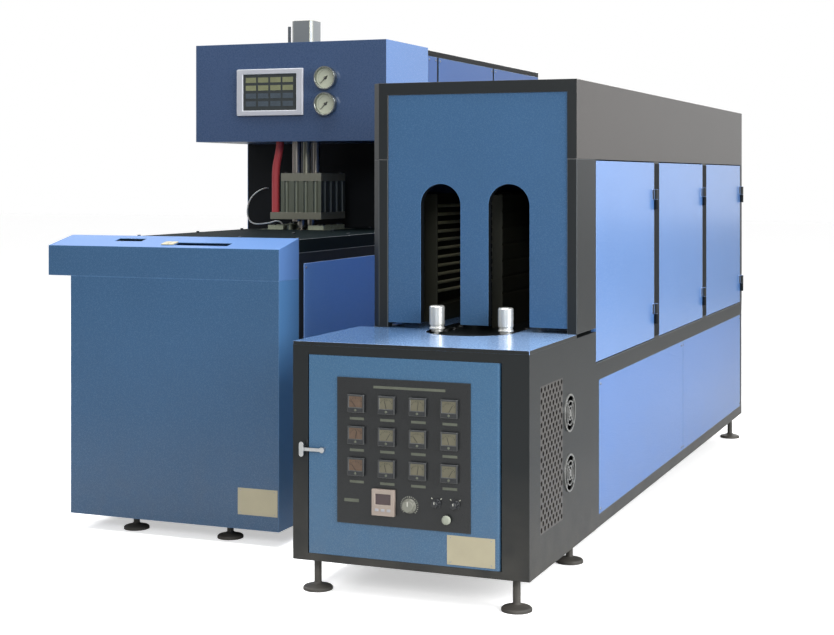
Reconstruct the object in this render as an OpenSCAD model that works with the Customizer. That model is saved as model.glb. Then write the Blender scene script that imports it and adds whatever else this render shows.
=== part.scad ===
// Two station stretch blow moulding machine: a blowing station and a preform heating oven.
// Frame: +X right, +Y away from the operator, +Z up, floor at Z = 0. All sizes in mm.

/* [Blowing station, base] */
// right side face of the blowing station
blower_x = -66; // [-90:1:-45]
// front face of the blowing station
blower_y = -1288; // [-1320:1:-1260]
// width of the front cabinet
cover_w = 880; // [800:1:960]
// depth of the front cabinet
cover_d = 160; // [120:1:200]
// height of the feet below the base
blower_foot_h = 55; // [40:1:80]
// height of the lower edge of the table lip
lip_z = 951; // [920:1:980]
// height of the front lip of the table
lip_h = 114; // [90:1:140]
// rise of the sloped table face
slope_rise = 34; // [15:1:60]
// overhang of the table to the left
table_over = 100; // [60:1:140]
// square tube of the frames
post = 40; // [30:1:50]
// top of the machine bed
bed_top = 1095; // [1070:1:1120]
// thickness of the machine bed
bed_t = 50; // [30:1:60]
// width of the machine bed
bed_w = 725; // [700:1:800]
// sheet metal thickness
sheet = 3; // [2:0.5:4]
// depth of the folded edges of panels
fold = 22; // [15:1:30]
// joint gap round panels and doors
reveal = 4; // [2:0.5:6]

/* [Blowing station, tower and header] */
// front wall of the tower
tower_y = 177; // [130:1:230]
// length of the tower
tower_l = 1635; // [1400:5:1800]
// left side of tower and header
tower_x = -976; // [-1010:1:-950]
// height of the tower roof
tower_h = 1888; // [1800:1:1950]
// thickness of the tower roof edge
roof_t = 25; // [15:1:40]
// front face of the header
header_y = -298; // [-350:1:-250]
// gap between the lifted head and the header
head_gap = 46; // [30:1:60]
// width of the touch screen frame
screen_w = 316; // [280:1:340]
// height of the touch screen frame
screen_h = 200; // [180:1:240]
// border of the touch screen frame
screen_b = 30; // [25:1:50]
// depth of the touch screen frame
screen_t = 14; // [8:1:20]
// diameter of the pressure gauges
gauge_d = 98; // [80:1:104]
// spacing of the two gauges
gauge_pitch = 110; // [106:1:130]

/* [Mould clamp] */
// parting plane of the closed mould
mould_x = -551; // [-570:1:-530]
// middle of the moulds, front to back
mould_y = -68; // [-90:1:-50]
// travel of each mould half
clamp_travel = 60; // [40:1:70]
// thickness of a mould half
mould_t = 110; // [90:1:120]
// width of the moulds, front to back
mould_w = 260; // [230:1:270]
// height of the moulds
mould_h = 305; // [290:1:320]
// height of the neck plates on the moulds
neck_plate_h = 18; // [12:1:19]
// width of each neck plate from the parting face
neck_plate_w = 74; // [60:1:80]
// setback of the neck plates from the mould's ends
neck_plate_in = 20; // [10:1:30]
// spacing of the two cavities
cavity_pitch = 100; // [90:1:110]
// bottle diameter
bottle_d = 80; // [60:1:86]
// bottle height below the neck
bottle_h = 228; // [200:1:235]
// thickness of the platens
platen_t = 40; // [30:1:45]
// thickness of the fixed end plates
endplate_t = 30; // [20:1:35]
// tie bar diameter
tie_d = 36; // [28:1:40]
// clamp cylinder diameter
clamp_d = 120; // [100:1:130]
// clamp cylinder length
clamp_l = 108; // [100:1:112]
// running clearance of sliding rods
slide_c = 0.3; // [0.2:0.05:0.5]

/* [Blow head] */
// underside of the lower head plate
head_z = 1140; // [1130:1:1150]
// thickness of the lower head plate
head_bot_t = 30; // [20:1:34]
// height of the head block
head_block_h = 136; // [120:1:150]
// thickness of the upper head plate
head_top_t = 34; // [25:1:40]
// left side of the head block
head_x0 = -614; // [-620:1:-606]
// right side of the head
head_x1 = -421; // [-440:1:-405]
// front of the head
head_y0 = -193; // [-203:1:-185]
// depth of the head
head_d = 250; // [235:1:255]
// stroke of the head
head_stroke = 90; // [60:1:100]
// diameter of the guide rods
guide_d = 38; // [30:1:40]
// nozzle diameter
nozzle_d = 44; // [36:1:48]
// nozzle length
nozzle_l = 77; // [70:1:79]
// diameter of the stretch rods
stretch_d = 12; // [10:1:14]
// length of the lift rod inside the header
lift_grip = 64; // [50:1:80]

/* [Oven housing] */
// left side of the oven
oven_x = 285; // [270:1:300]
// width of the oven
oven_w = 744; // [700:1:780]
// front of the oven above the shelf
oven_y = -1272; // [-1290:1:-1250]
// length of the oven
oven_l = 3074; // [2900:2:3100]
// height of the oven
oven_h = 1650; // [1600:1:1700]
// height of the base above the floor
oven_foot_h = 105; // [90:1:120]
// lower edge of the hood
hood_z = 1384; // [1360:1:1400]
// width of the left front post
post_l = 64; // [50:1:80]
// width of the right front post
post_r = 34; // [30:1:50]
// width of each loading slot
slot_w = 146; // [130:1:160]
// spacing of the two loading slots
slot_pitch = 247; // [235:1:255]
// crown of the loading slots
slot_top = 1300; // [1280:1:1320]
// depth of the front side cover
cover_side = 238; // [220:1:250]
// width of the posts between doors
door_post = 80; // [70:1:90]
// thickness of the oven doors
door_t = 20; // [16:1:24]
// top of the middle rail
mid_z = 680; // [660:1:700]
// height of the middle rail
mid_h = 62; // [50:1:70]
// height of the bottom rail
rail_h = 45; // [35:1:55]
// hinge knuckle radius
knuckle_r = 8; // [7:0.5:10]
// hinge pin radius
pin_r = 3; // [2.5:0.5:4]
// hinge pin running clearance
pin_c = 0.05; // [0.02:0.01:0.1]

/* [Oven inside] */
// height of the shelf
shelf_z = 801; // [790:1:815]
// thickness of the shelf plate
shelf_t = 12; // [8:1:16]
// width of the chain well round the chain's path
groove_w = 60; // [50:1:64]
// thickness of a link plate
link_t = 4; // [3:0.5:5]
// width of a link plate
link_w = 24; // [18:1:28]
// front turn of the chain
chain_y0 = -1300; // [-1310:1:-1276]
// links between two spindles, equal to the front turn
spindle_step = 5; // [4:1:6]
// spindle diameter
spindle_d = 52; // [44:1:54]
// spindle height above the chain
spindle_h = 88; // [70:1:90]
// front of the lamp banks
lamp_y = -1028; // [-1040:1:-990]
// length of one lamp module
lamp_l = 840; // [780:1:845]
// height of the lamp banks
lamp_h = 460; // [430:1:480]
// number of lamps in a bank
lamps = 11; // [8:1:12]
// vertical spacing of the lamps
lamp_pitch = 31; // [28:1:32]
// lamp diameter
lamp_d = 12; // [10:1:14]
// distance of the lamp bank from the spindles
lamp_off = 104; // [95:1:110]

/* [Control cabinet] */
// left side of the cabinet
cab_x = 238; // [230:1:250]
// front of the cabinet
cab_y = -1787; // [-1810:1:-1770]
// depth of the cabinet
cab_d = 753; // [740:1:760]
// frame at the left of the door
frame_l = 55; // [45:1:65]
// frame at the right of the door
frame_r = 93; // [80:1:105]
// frame above the door
frame_t = 41; // [34:1:50]
// frame under the door
frame_b = 24; // [20:1:34]
// thickness of the control door
cdoor_t = 20; // [18:1:24]
// width of the instrument panel
fascia_w = 447; // [430:1:460]
// height of the instrument panel
fascia_h = 458; // [440:1:470]
// thickness of the instrument panel
fascia_t = 4; // [3:0.5:6]
// size of a meter face
meter_s = 56; // [44:1:64]
// spacing of the meter columns
meter_px = 104; // [96:1:106]
// spacing of the meter rows
meter_pz = 99; // [92:1:102]
// size of the temperature controller
ctrl_s = 76; // [70:1:84]
// knob diameter
knob_d = 30; // [24:1:34]
// vent hole diameter
vent_d = 17; // [12:1:20]
// spacing of the vent holes
vent_p = 36; // [32:1:38]
// fan diameter
fan_d = 116; // [100:1:120]
// spacing of the two fans
fan_pitch = 195; // [180:1:210]
// setback of the cabinet's front feet and all rear feet
foot_in = 60; // [50:1:80]
// setback of the cabinet's rear feet from its left side
foot_left_in = 70; // [55:1:90]
// setback of the cabinet's rear feet from its right side
foot_right_in = 78; // [60:1:90]
// setback of the oven's rear feet
foot_oven_in = 140; // [100:1:180]
// setback of the base's front feet from its sides
foot_base_in = 240; // [150:1:280]
// setback of the base's front feet from its front
foot_base_front = 80; // [60:1:100]

/* [Hidden] */
$fn = 48;
doors = 3;
header_over = 10;
head_bz = head_z + head_bot_t;
head_tz = head_bz + head_block_h;
head_top = head_tz + head_top_t;
header_top = tower_h + header_over;
header_z = head_top + head_stroke + head_gap;
header_h = header_top - header_z;
cover_x = blower_x - cover_w;
table_z = lip_z + lip_h;
slope_z = table_z + slope_rise;
frame_y = blower_y + cover_d;
bed_z = bed_top - bed_t;
bed_x = blower_x - bed_w;
tower_x1 = blower_x - 5;
tower_y1 = tower_y + tower_l;
skin_x = [tower_x + sheet, tower_x1 - sheet];
bay_y = [tower_y + tower_l * 0.0758, tower_y + tower_l * 0.546];
bay_gap = 24;
roof_z = tower_h - roof_t;
screen_x = tower_x + 208;
screen_z = header_z + (header_h - screen_h) / 2;
gauge_x = screen_x + screen_w + 109;
gauge_z = header_z + (header_h - gauge_pitch) / 2;
gauge_t = 30;
needle_r = 2;
mould_y0 = mould_y - mould_w / 2;
mould_z = bed_top - mould_h;
half_open = clamp_travel;
platen_out = half_open + mould_t + platen_t;
endplate_in = platen_out + 30;
platen_y0 = mould_y0 - 65;
platen_w = mould_w + 130;
platen_z = bed_z - 275;
platen_h = 270;
rail_z = platen_z - 10 - post;
tie_dy = platen_w / 2 - 25;
tie_z = [platen_z + 50, platen_z + 220];
clamp_z = bed_z - 140;
rod_d = 35;
rod_l = 140;
neck_r = 28;
neck_h = 35;
bed_gap = 6;
hose_side = 52;
nozzle_y = [mould_y - cavity_pitch / 2, mould_y + cavity_pitch / 2];
guide_y = [mould_y - 97, mould_y + 97];
barrel = 70;
cap_s = 100;
cap_h = 112;
carriage_z = header_top - 130;
carriage_t = 25;
index_x = mould_x - 84;
index_d = 14;
hose_x = mould_x - 96;
hose_y = mould_y - 110;
oven_x1 = oven_x + oven_w;
oven_y1 = oven_y + oven_l;
side_y = oven_y + cover_side;
rear_post = 50;
door_l = (oven_y1 - rear_post - side_y - (doors - 1) * door_post) / doors;
door_y = [for (i = [0 : doors - 1]) side_y + i * (door_l + door_post)];
slot_aside = 5.5;
slot_x0 = oven_x + post_l + (oven_w - post_l - post_r - slot_pitch) / 2 - slot_aside;
slot_x = [slot_x0, slot_x0 + slot_pitch];
track_x = (slot_x[0] + slot_x[1]) / 2;
track_r = slot_pitch / 2;
bank_gap = 21;
bank_d = oven_x1 - post - bank_gap - track_x - track_r - lamp_off;
link_p = PI * track_r / spindle_step;
chain_end = oven_y1 - rear_post - track_r;
side_links = floor((chain_end - track_r - groove_w / 2 - chain_y0) / link_p);
links = 2 * (side_links + spindle_step);
track_l = side_links * link_p;
chain_y1 = chain_y0 + track_l;
chain_z = shelf_z - shelf_t;
stud_r = 6;
hinge_x = oven_x1 + knuckle_r + 1;
hinge_z = [mid_z + 100, hood_z - 150];
cab_x1 = oven_x1;
cab_y1 = cab_y + cab_d;
cab_t = shelf_z - shelf_t;
cd_x0 = cab_x + frame_l;
cd_x1 = cab_x1 - frame_r;
cd_z0 = oven_foot_h + frame_b;
cd_z1 = shelf_z - frame_t;
cd_pin = cdoor_t / 2;
latch_z = shelf_z - 341;
latch_x = cd_x0 + 52;
latch_t = 14;
fascia_x = cd_x0 + 102;
fascia_z = cd_z1 - 66 - fascia_h;
face_y = cab_y - fascia_t;
meter_x = fascia_x + 68;
meter_z = fascia_z + fascia_h - 80;
ctrl_x = fascia_x + 162;
ctrl_z = fascia_z + 70;
dial_x = fascia_x + 246;
knob_x = [fascia_x + 336, fascia_x + 398, fascia_x + 372];
knob_z = [fascia_z + 84, fascia_z + 84, fascia_z + 38];
vent_y = cab_y + 122;
vent_z = oven_foot_h + 130;
vent_rows = 13;
vent_cols = 7;
fan_y = vent_y + (vent_cols - 1) * vent_p + 30 + fan_d / 2;
fan_z = [shelf_z - 246 - fan_pitch, shelf_z - 246];
fan_depth = 26;
// free hoses: points stay as chosen
air_r = 3;
air_path = [[-868, 176.7, 1272], [-869, 158, 1272], [-875, 142, 1269], [-888, 131, 1262], [-905, 126, 1250],
  [-922, 125, 1235], [-937, 126, 1215], [-948, 128, 1190], [-952, 130, 1161], [-948, 130, 1137],
  [-936, 130, 1119], [-918, 130, 1109], [-895, 130, 1107], [-866, 130, 1109], [-834, 130, 1114],
  [-810, 130, 1120], [-795, 130, 1121.5], [-781, 130, 1117.5], [-771, 130, 1108], [-767, 130, 1095.3]];
red_r = 17;
red_path = [[-625, -178, 1500], [-625, -178, 1475], [-628, -178, 1445], [-634, -178, 1415], [-641, -178, 1385],
  [-646, -178, 1350], [-647, -178, 1310], [-647, -178, 1270], [-647, -178, 1220], [-647, -178, 1170.3]];

// part to show

// block between two corners
module blk(x0, x1, y0, y1, z0, z1) { translate([x0, y0, z0]) cube([x1 - x0, y1 - y0, z1 - z0]); }
// rod along X, Y or Z
module rod_x(r, l) { rotate([0, 90, 0]) cylinder(r = r, h = l); }
module rod_y(r, l) { rotate([-90, 0, 0]) cylinder(r = r, h = l); }
// folded sheet tray whose skin faces +X (dir 1) or -X (dir -1)
module tray_x(x, dir, y0, y1, z0, z1) {
  a = dir > 0 ? x - fold : x;
  b = dir > 0 ? x : x + fold;
  difference() {
    blk(a, b, y0, y1, z0, z1);
    blk(dir > 0 ? a - 1 : a + sheet, dir > 0 ? b - sheet : b + 1, y0 + sheet, y1 - sheet, z0 + sheet, z1 - sheet);
  }
}
// folded sheet tray whose skin faces +Y
module tray_y(y, x0, x1, z0, z1) {
  difference() {
    blk(x0, x1, y - fold, y, z0, z1);
    blk(x0 + sheet, x1 - sheet, y - fold - 1, y - sheet, z0 + sheet, z1 - sheet);
  }
}

// welded tube frame of base and tower, with the roof
module blower_frame() {
  color("#2a2e33") {
    for (x = [cover_x, blower_x - post]) {
      blk(x, x + post, frame_y, frame_y + post, blower_foot_h, bed_z);
    }
    for (x = [cover_x + fold, blower_x - fold - post]) blk(x, x + post, frame_y + post, tower_y, rail_z, rail_z + post);
    blk(cover_x, cover_x + post, frame_y + post, tower_y, blower_foot_h, blower_foot_h + post);
    blk(blower_x - post, blower_x, frame_y + post, tower_y, blower_foot_h, blower_foot_h + post);
    blk(cover_x, cover_x + post, frame_y + post, tower_y, bed_z - post, bed_z);
    blk(blower_x - post, blower_x, frame_y + post, tower_y, bed_z - post, bed_z);
    for (y = [platen_y0 + 20, platen_y0 + platen_w - 20 - post])
      blk(cover_x + fold + post, blower_x - fold - post, y, y + post, rail_z, rail_z + post);
    blk(cover_x + post, blower_x - post, frame_y, frame_y + post, bed_z - post, bed_z);
    blk(cover_x + post, blower_x - post, frame_y, frame_y + post, blower_foot_h, blower_foot_h + post);
    for (y = [tower_y, tower_y1 - post], x = [skin_x[0], skin_x[1] - post])
      blk(x, x + post, y, y + post, blower_foot_h, roof_z);
    for (y = bay_y, x = [skin_x[0], skin_x[1] - post]) {
      blk(x, x + post, y - post / 2, y + post / 2, blower_foot_h + post, bed_z);
      blk(x, x + post, y - post / 2, y + post / 2, bed_z + post, roof_z - post);
    }
    for (x = [skin_x[0], skin_x[1] - post], z = [blower_foot_h, bed_z, roof_z - post])
      blk(x, x + post, tower_y + post, tower_y1 - post, z, z + post);
    for (z = [blower_foot_h, bed_z, roof_z - post])
      blk(skin_x[0] + post, skin_x[1] - post, tower_y1 - post, tower_y1, z, z + post);
    for (z = [blower_foot_h, rail_z, bed_z - post, roof_z - post])
      blk(skin_x[0] + post, skin_x[1] - post, tower_y, tower_y + post, z, z + post);
    blk(skin_x[0] + post, skin_x[1] - post, tower_y, tower_y + sheet, bed_z, roof_z - post);
    blk(tower_x, tower_x1, tower_y, tower_y1, roof_z, tower_h);
  }
}

// folded front cabinet of the base
module front_cabinet() {
  color("#44618a") difference() {
    blk(cover_x, blower_x, blower_y, frame_y, blower_foot_h, lip_z);
    blk(cover_x + sheet, blower_x - sheet, blower_y + sheet, frame_y + 1, blower_foot_h + sheet, lip_z - sheet);
  }
}

// table hood with a sloped face and two long slots
module table_top() {
  w = cover_w + table_over;
  slot_len = [w * 0.12, w * 0.23];
  slot_at = [w * 0.247, w * 0.537];
  slot_in = [cover_d * 0.49, cover_d * 0.21];
  color("#9db6e4") difference() {
    translate([cover_x - table_over, 0, 0]) rotate([90, 0, 90]) linear_extrude(cover_w + table_over)
      polygon([[blower_y, lip_z], [frame_y, lip_z], [frame_y, slope_z], [blower_y, table_z]]);
    translate([cover_x - table_over + sheet, 0, 0]) rotate([90, 0, 90])
      linear_extrude(cover_w + table_over - 2 * sheet)
        polygon([[blower_y + sheet, lip_z + sheet], [frame_y - sheet, lip_z + sheet],
          [frame_y - sheet, slope_z - sheet - 1], [blower_y + sheet, table_z - sheet]]);
    for (i = [0, 1]) blk(cover_x - table_over + slot_at[i], cover_x - table_over + slot_at[i] + slot_len[i],
      blower_y + slot_in[i], blower_y + slot_in[i] + 40, table_z - 8, slope_z + 1);
  }
}

// thick bed with the mould well and the hose union
module bed_plate() {
  color("#23282c") difference() {
    blk(bed_x, blower_x, frame_y, tower_y, bed_z, bed_top);
    blk(mould_x - half_open - mould_t - bed_gap, mould_x + half_open + mould_t + bed_gap,
      mould_y0 - bed_gap, mould_y0 + mould_w + bed_gap, bed_z - 1, bed_top + 1);
  }
}

// folded side panels of the base
module base_side_panels() {
  color("#5f83c2") {
    tray_x(blower_x, 1, frame_y + post + reveal, tower_y - reveal, blower_foot_h + post, bed_z - post);
    blk(cover_x, bed_x, frame_y, tower_y, bed_z, bed_z + sheet);
    tray_x(cover_x, -1, frame_y + post + reveal, tower_y - reveal, blower_foot_h + post, bed_z - post);
  }
}

// blue panels of the tower: flat sheets in three bays a side, trays at the rear
module tower_panels() {
  edge = [tower_y - bay_gap / 2, bay_y[0], bay_y[1], tower_y1 + bay_gap / 2];
  split = bed_z + post / 2;
  color("#6f96da") {
    for (i = [0 : 2], x = [tower_x, skin_x[1]], z = [[blower_foot_h, split - reveal / 2], [split + reveal / 2, roof_z]])
      blk(x, x + sheet, edge[i] + bay_gap / 2, edge[i + 1] - bay_gap / 2, z[0], z[1]);
    for (z = [[blower_foot_h + post, bed_z], [bed_z + post, roof_z - post]])
      tray_y(tower_y1, skin_x[0] + post, skin_x[1] - post, z[0], z[1]);
  }
}

// header housing, open at the back onto the tower wall
module header_shell() {
  color("#44618a") difference() {
    blk(tower_x, tower_x1, header_y, tower_y, header_z, header_top);
    blk(tower_x + sheet, tower_x1 - sheet, header_y + sheet, tower_y + 1, header_z + sheet, header_top - sheet);
    translate([mould_x, mould_y, header_z - 1]) cylinder(d = guide_d + 2 * slide_c, h = sheet + 2);
    for (y = nozzle_y) translate([mould_x, y, header_z - 1]) cylinder(d = stretch_d + 1, h = sheet + 2);
    translate([hose_x + 15, hose_y, header_z - 1]) cylinder(r = 34, h = sheet + 2);
    translate([index_x, mould_y, header_top - sheet - 1]) cylinder(d = index_d + 1, h = sheet + 2);
  }
}

// touch screen frame with a bevelled inner edge
module screen_bezel() {
  color("#c9ccd0") difference() {
    blk(screen_x, screen_x + screen_w, header_y - screen_t, header_y, screen_z, screen_z + screen_h);
    blk(screen_x + screen_b, screen_x + screen_w - screen_b, header_y - screen_t - 1, header_y - 4,
      screen_z + screen_b - 8, screen_z + screen_h - screen_b + 8);
  }
}
module screen_glass() {
  color("#20262a") blk(screen_x + screen_b, screen_x + screen_w - screen_b, header_y - 8, header_y - 4,
    screen_z + screen_b - 8, screen_z + screen_h - screen_b + 8);
}

// turned gauge cases with a raised rim and a needle post
module gauge_cases() {
  color("#b9bcb8") for (i = [0, 1]) translate([gauge_x, header_y, gauge_z + i * gauge_pitch]) rotate([90, 0, 0])
    rotate_extrude() polygon([[0, 0], [gauge_d / 2 - 6, 0], [gauge_d / 2, 6], [gauge_d / 2, gauge_t],
      [gauge_d / 2 - 5, gauge_t], [gauge_d / 2 - 7, 14], [needle_r, 14], [needle_r, 22], [0, 22]]);
}
module needle(i) {
  color("#1c1c1c") translate([gauge_x, header_y - 16, gauge_z + i * gauge_pitch]) rotate([90, 0, 0]) difference() {
    union() {
      cylinder(r = 6, h = 4);
      rotate([0, 0, 225]) linear_extrude(2) polygon([[-12, -2], [gauge_d / 2 - 18, -0.8],
        [gauge_d / 2 - 18, 0.8], [-12, 2]]);
    }
    translate([0, 0, -1]) cylinder(r = needle_r + pin_c, h = 6);
  }
}
module gauge_needle_upper() { needle(1); }
module gauge_needle_lower() { needle(0); }

// two guide rods that hang from the header
module guide_rods() {
  color("#c2c3bf") for (y = guide_y) translate([mould_x, y, head_z - 10])
    cylinder(d = guide_d, h = header_z - head_z + 10);
}
// bores through the head for guide rods and stretch rods
module head_bores(z, h) {
  for (y = guide_y) translate([mould_x, y, z]) cylinder(d = guide_d + 2 * slide_c, h = h);
  for (y = nozzle_y) translate([mould_x, y, z]) cylinder(d = stretch_d + 1, h = h);
}
module head_top_plate() {
  color("#b7b8b0") union() {
    difference() {
      blk(head_x0, head_x1, head_y0, head_y0 + head_d, head_tz, head_top);
      head_bores(head_tz - 1, head_top_t + 2);
    }
    translate([mould_x, mould_y, head_top]) cylinder(d = guide_d, h = header_z - head_top + lift_grip);
  }
}
// extruded head block with vertical flutes
module head_block() {
  color("#8f9282") difference() {
    blk(head_x0, head_x1, head_y0, head_y0 + head_d, head_bz, head_tz);
    for (x = [head_x0 + 28 : 46 : head_x1 - 20]) translate([x, head_y0 - 2, head_bz - 1])
      cylinder(r = 12, h = head_block_h + 2);
    for (y = [head_y0 + 35 : 60 : head_y0 + head_d - 30]) translate([head_x1 + 2, y, head_bz - 1])
      cylinder(r = 12, h = head_block_h + 2);
    head_bores(head_bz - 1, head_block_h + 2);
  }
}
module head_bottom_plate() {
  color("#b7b8b0") difference() {
    blk(head_x0 - hose_side, head_x1, head_y0, head_y0 + head_d, head_z, head_bz);
    head_bores(head_z - 1, head_bot_t + 2);
  }
}
// turned nozzles with a wider sealing cup
module blow_nozzles() {
  r = nozzle_d / 2;
  color("#a9aba6") for (y = nozzle_y) translate([mould_x, y, head_z - nozzle_l]) rotate_extrude()
    polygon([[stretch_d / 2 + 0.5, 0], [r - 4, 0], [r, 4], [r, 30], [r - 5, 36], [r - 5, nozzle_l],
      [stretch_d / 2 + 0.5, nozzle_l]]);
}
// head cylinder inside the header with its cap on the roof
module lift_cylinder() {
  color("#9a9c9b") {
    difference() {
      blk(mould_x - barrel / 2, mould_x + barrel / 2, mould_y - barrel / 2, mould_y + barrel / 2,
        header_z + sheet, header_top - sheet);
      translate([mould_x, mould_y, header_z]) cylinder(d = guide_d + 2 * slide_c, h = 64 + head_stroke + 60);
    }
    difference() {
      blk(mould_x - cap_s / 2, mould_x + cap_s / 2, mould_y - cap_s / 2, mould_y + cap_s / 2,
        header_top, header_top + cap_h);
      for (x = [-1, 1], y = [-1, 1]) translate([mould_x + x * cap_s / 2, mould_y + y * cap_s / 2, header_top - 1])
        cylinder(r = 10, h = cap_h + 2);
    }
  }
}
module stretch_carriage() {
  c = barrel / 2 + 0.5;
  color("#6d7073") {
    difference() {
      blk(index_x - 16, mould_x + 50, mould_y - 70, mould_y + 70, carriage_z, carriage_z + carriage_t);
      blk(mould_x - c, mould_x + c, mould_y - c, mould_y + c, carriage_z - 1, carriage_z + carriage_t + 1);
    }
    translate([index_x, mould_y, carriage_z + carriage_t])
      cylinder(d = index_d, h = header_top - carriage_z - carriage_t + 92);
  }
}
module stretch_rods() {
  color("#d0d2d2") for (y = nozzle_y) translate([mould_x, y, head_z - nozzle_l + 12]) union() {
    translate([0, 0, stretch_d / 2]) cylinder(d = stretch_d, h = carriage_z - head_z + nozzle_l - 12 - stretch_d / 2);
    intersection() {
      translate([0, 0, stretch_d / 2]) sphere(d = stretch_d);
      cylinder(d = stretch_d, h = stretch_d / 2);
    }
  }
}

// fixed end plates of the clamp on the frame rails
module clamp_end_plates() {
  color("#3a3f44") for (s = [-1, 1]) difference() {
    translate([mould_x + (s > 0 ? endplate_in : -endplate_in - endplate_t), platen_y0, rail_z + post])
      cube([endplate_t, platen_w, bed_z - rail_z - post]);
    translate([mould_x + (s > 0 ? endplate_in : -endplate_in - endplate_t) - 1, mould_y, clamp_z])
      rod_x(rod_d / 2 + slide_c, endplate_t + 2);
  }
}
module tie_bars() {
  color("#c8cacb") for (y = [-tie_dy, tie_dy], z = tie_z) translate([mould_x - endplate_in, mould_y + y, z])
    rod_x(tie_d / 2, 2 * endplate_in);
}
module clamp_cylinders() {
  color("#8c9092") for (s = [-1, 1]) translate([mould_x + s * (endplate_in + endplate_t), mould_y, clamp_z])
    rotate([0, s * 90, 0]) difference() {
      rotate_extrude() polygon([[0, 0], [clamp_d / 2, 0], [clamp_d / 2, 18], [clamp_d / 2 - 7, 20],
        [clamp_d / 2 - 7, clamp_l - 20], [clamp_d / 2, clamp_l - 18], [clamp_d / 2, clamp_l], [0, clamp_l]]);
      translate([0, 0, -1]) cylinder(r = rod_d / 2 + slide_c, h = clamp_l - 9);
    }
}
// moving platen with its piston rod, s = -1 left, 1 right
module platen(s) {
  x0 = s > 0 ? mould_x + half_open + mould_t : mould_x - platen_out;
  color("#4a5056") {
    difference() {
      translate([x0, platen_y0, platen_z]) cube([platen_t, platen_w, platen_h]);
      for (y = [-tie_dy, tie_dy], z = tie_z) translate([x0 - 1, mould_y + y, z])
        rod_x(tie_d / 2 + slide_c, platen_t + 2);
    }
    translate([mould_x + s * platen_out, mould_y, clamp_z]) rotate([0, s * 90, 0]) cylinder(d = rod_d, h = rod_l - 12);
  }
}
module platen_left() { platen(-1); }
module platen_right() { platen(1); }
// mould half with two turned bottle cavities and neck seats, and a neck plate on top
module mould_half(s) {
  r = bottle_d / 2;
  color("#aeb39c") difference() {
    union() {
      translate([s > 0 ? mould_x + half_open : mould_x - half_open - mould_t, mould_y0, mould_z])
        cube([mould_t, mould_w, mould_h]);
      translate([s > 0 ? mould_x + half_open : mould_x - half_open - neck_plate_w, mould_y0 + neck_plate_in, bed_top - 1])
        cube([neck_plate_w, mould_w - 2 * neck_plate_in, neck_plate_h + 1]);
    }
    for (y = nozzle_y) translate([mould_x + s * half_open, y, bed_top - neck_h - bottle_h - 20]) {
      rotate_extrude() polygon([[0, 0], [r - 10, 0], [r, 10], [r, bottle_h * 0.3], [r - 4, bottle_h * 0.36],
        [r - 4, bottle_h * 0.5], [r, bottle_h * 0.56], [r, bottle_h * 0.72], [r - 10, bottle_h * 0.86],
        [13, bottle_h], [13, bottle_h + 21], [0, bottle_h + 21]]);
      translate([0, 0, bottle_h + 20]) cylinder(r = neck_r, h = neck_h + neck_plate_h + 1);
    }
    for (z = [0.25, 0.5, 0.75]) translate([mould_x + s * (half_open + mould_t * 0.7), mould_y0 - 1, mould_z + mould_h * z])
      rod_y(6, 40);
  }
}
module mould_left() { mould_half(-1); }
module mould_right() { mould_half(1); }

// tube swept along chosen points
module hose(path, r, n = 8) {
  m = len(path);
  function unit(v) = v / norm(v);
  t = [for (i = [0 : m - 1]) unit(path[min(i + 1, m - 1)] - path[max(i - 1, 0)])];
  ring = [for (i = [0 : m - 1]) let (a = unit(cross(t[i], [0.05, 1, 0.02])), b = cross(t[i], a))
    for (k = [0 : n - 1]) path[i] + r * (cos(360 * k / n) * a + sin(360 * k / n) * b)];
  side = [for (i = [0 : m - 2], k = [0 : n - 1]) let (j = (k + 1) % n)
    for (f = [[i * n + k, i * n + j, (i + 1) * n + j], [i * n + k, (i + 1) * n + j, (i + 1) * n + k]]) f];
  ends = [[for (k = [n - 1 : -1 : 0]) k], [for (k = [0 : n - 1]) (m - 1) * n + k]];
  polyhedron(points = ring, faces = [for (f = concat(side, ends)) [for (k = [len(f) - 1 : -1 : 0]) f[k]]]);
}
module air_hose() { color("#e6e8e6") hose(air_path, air_r); }
module red_hose() { color("#b23a3f") hose(red_path, red_r, 10); }

// oven frame: base rails, door posts and the front posts
module oven_frame() {
  color("#34383b") {
    translate([oven_x, oven_y, shelf_z]) linear_extrude(hood_z - shelf_z)
      polygon([[30, 0], [post_l, 0], [post_l, post], [30, post], [30, cover_side], [0, cover_side], [0, 30]]);
    blk(oven_x1 - post_r, oven_x1, oven_y, side_y, shelf_z, hood_z);
    for (x = [oven_x, oven_x1 - post]) {
      for (i = [0 : doors - 2]) blk(x, x + post, door_y[i] + door_l, door_y[i] + door_l + door_post, mid_z, hood_z);
      blk(x, x + post, oven_y1 - rear_post, oven_y1, oven_foot_h + rail_h, hood_z);
      blk(x, x + post, cab_y1, oven_y1, oven_foot_h, oven_foot_h + rail_h);
      blk(x, x + post, cab_y1, oven_y1, mid_z - mid_h, mid_z);
      blk(x, x + post, cab_y1, cab_y1 + post, oven_foot_h + rail_h, mid_z - mid_h);
    }
    blk(oven_x + post, oven_x1 - post, oven_y1 - rear_post, oven_y1, oven_foot_h, oven_foot_h + rail_h);
    blk(oven_x + post, oven_x1 - post, oven_y1 - rear_post, oven_y1, mid_z - mid_h, mid_z);
    for (i = [0 : doors - 2]) blk(oven_x + post, oven_x1 - post, door_y[i] + door_l, door_y[i] + door_l + door_post,
      mid_z - mid_h, mid_z);
  }
}

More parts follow.
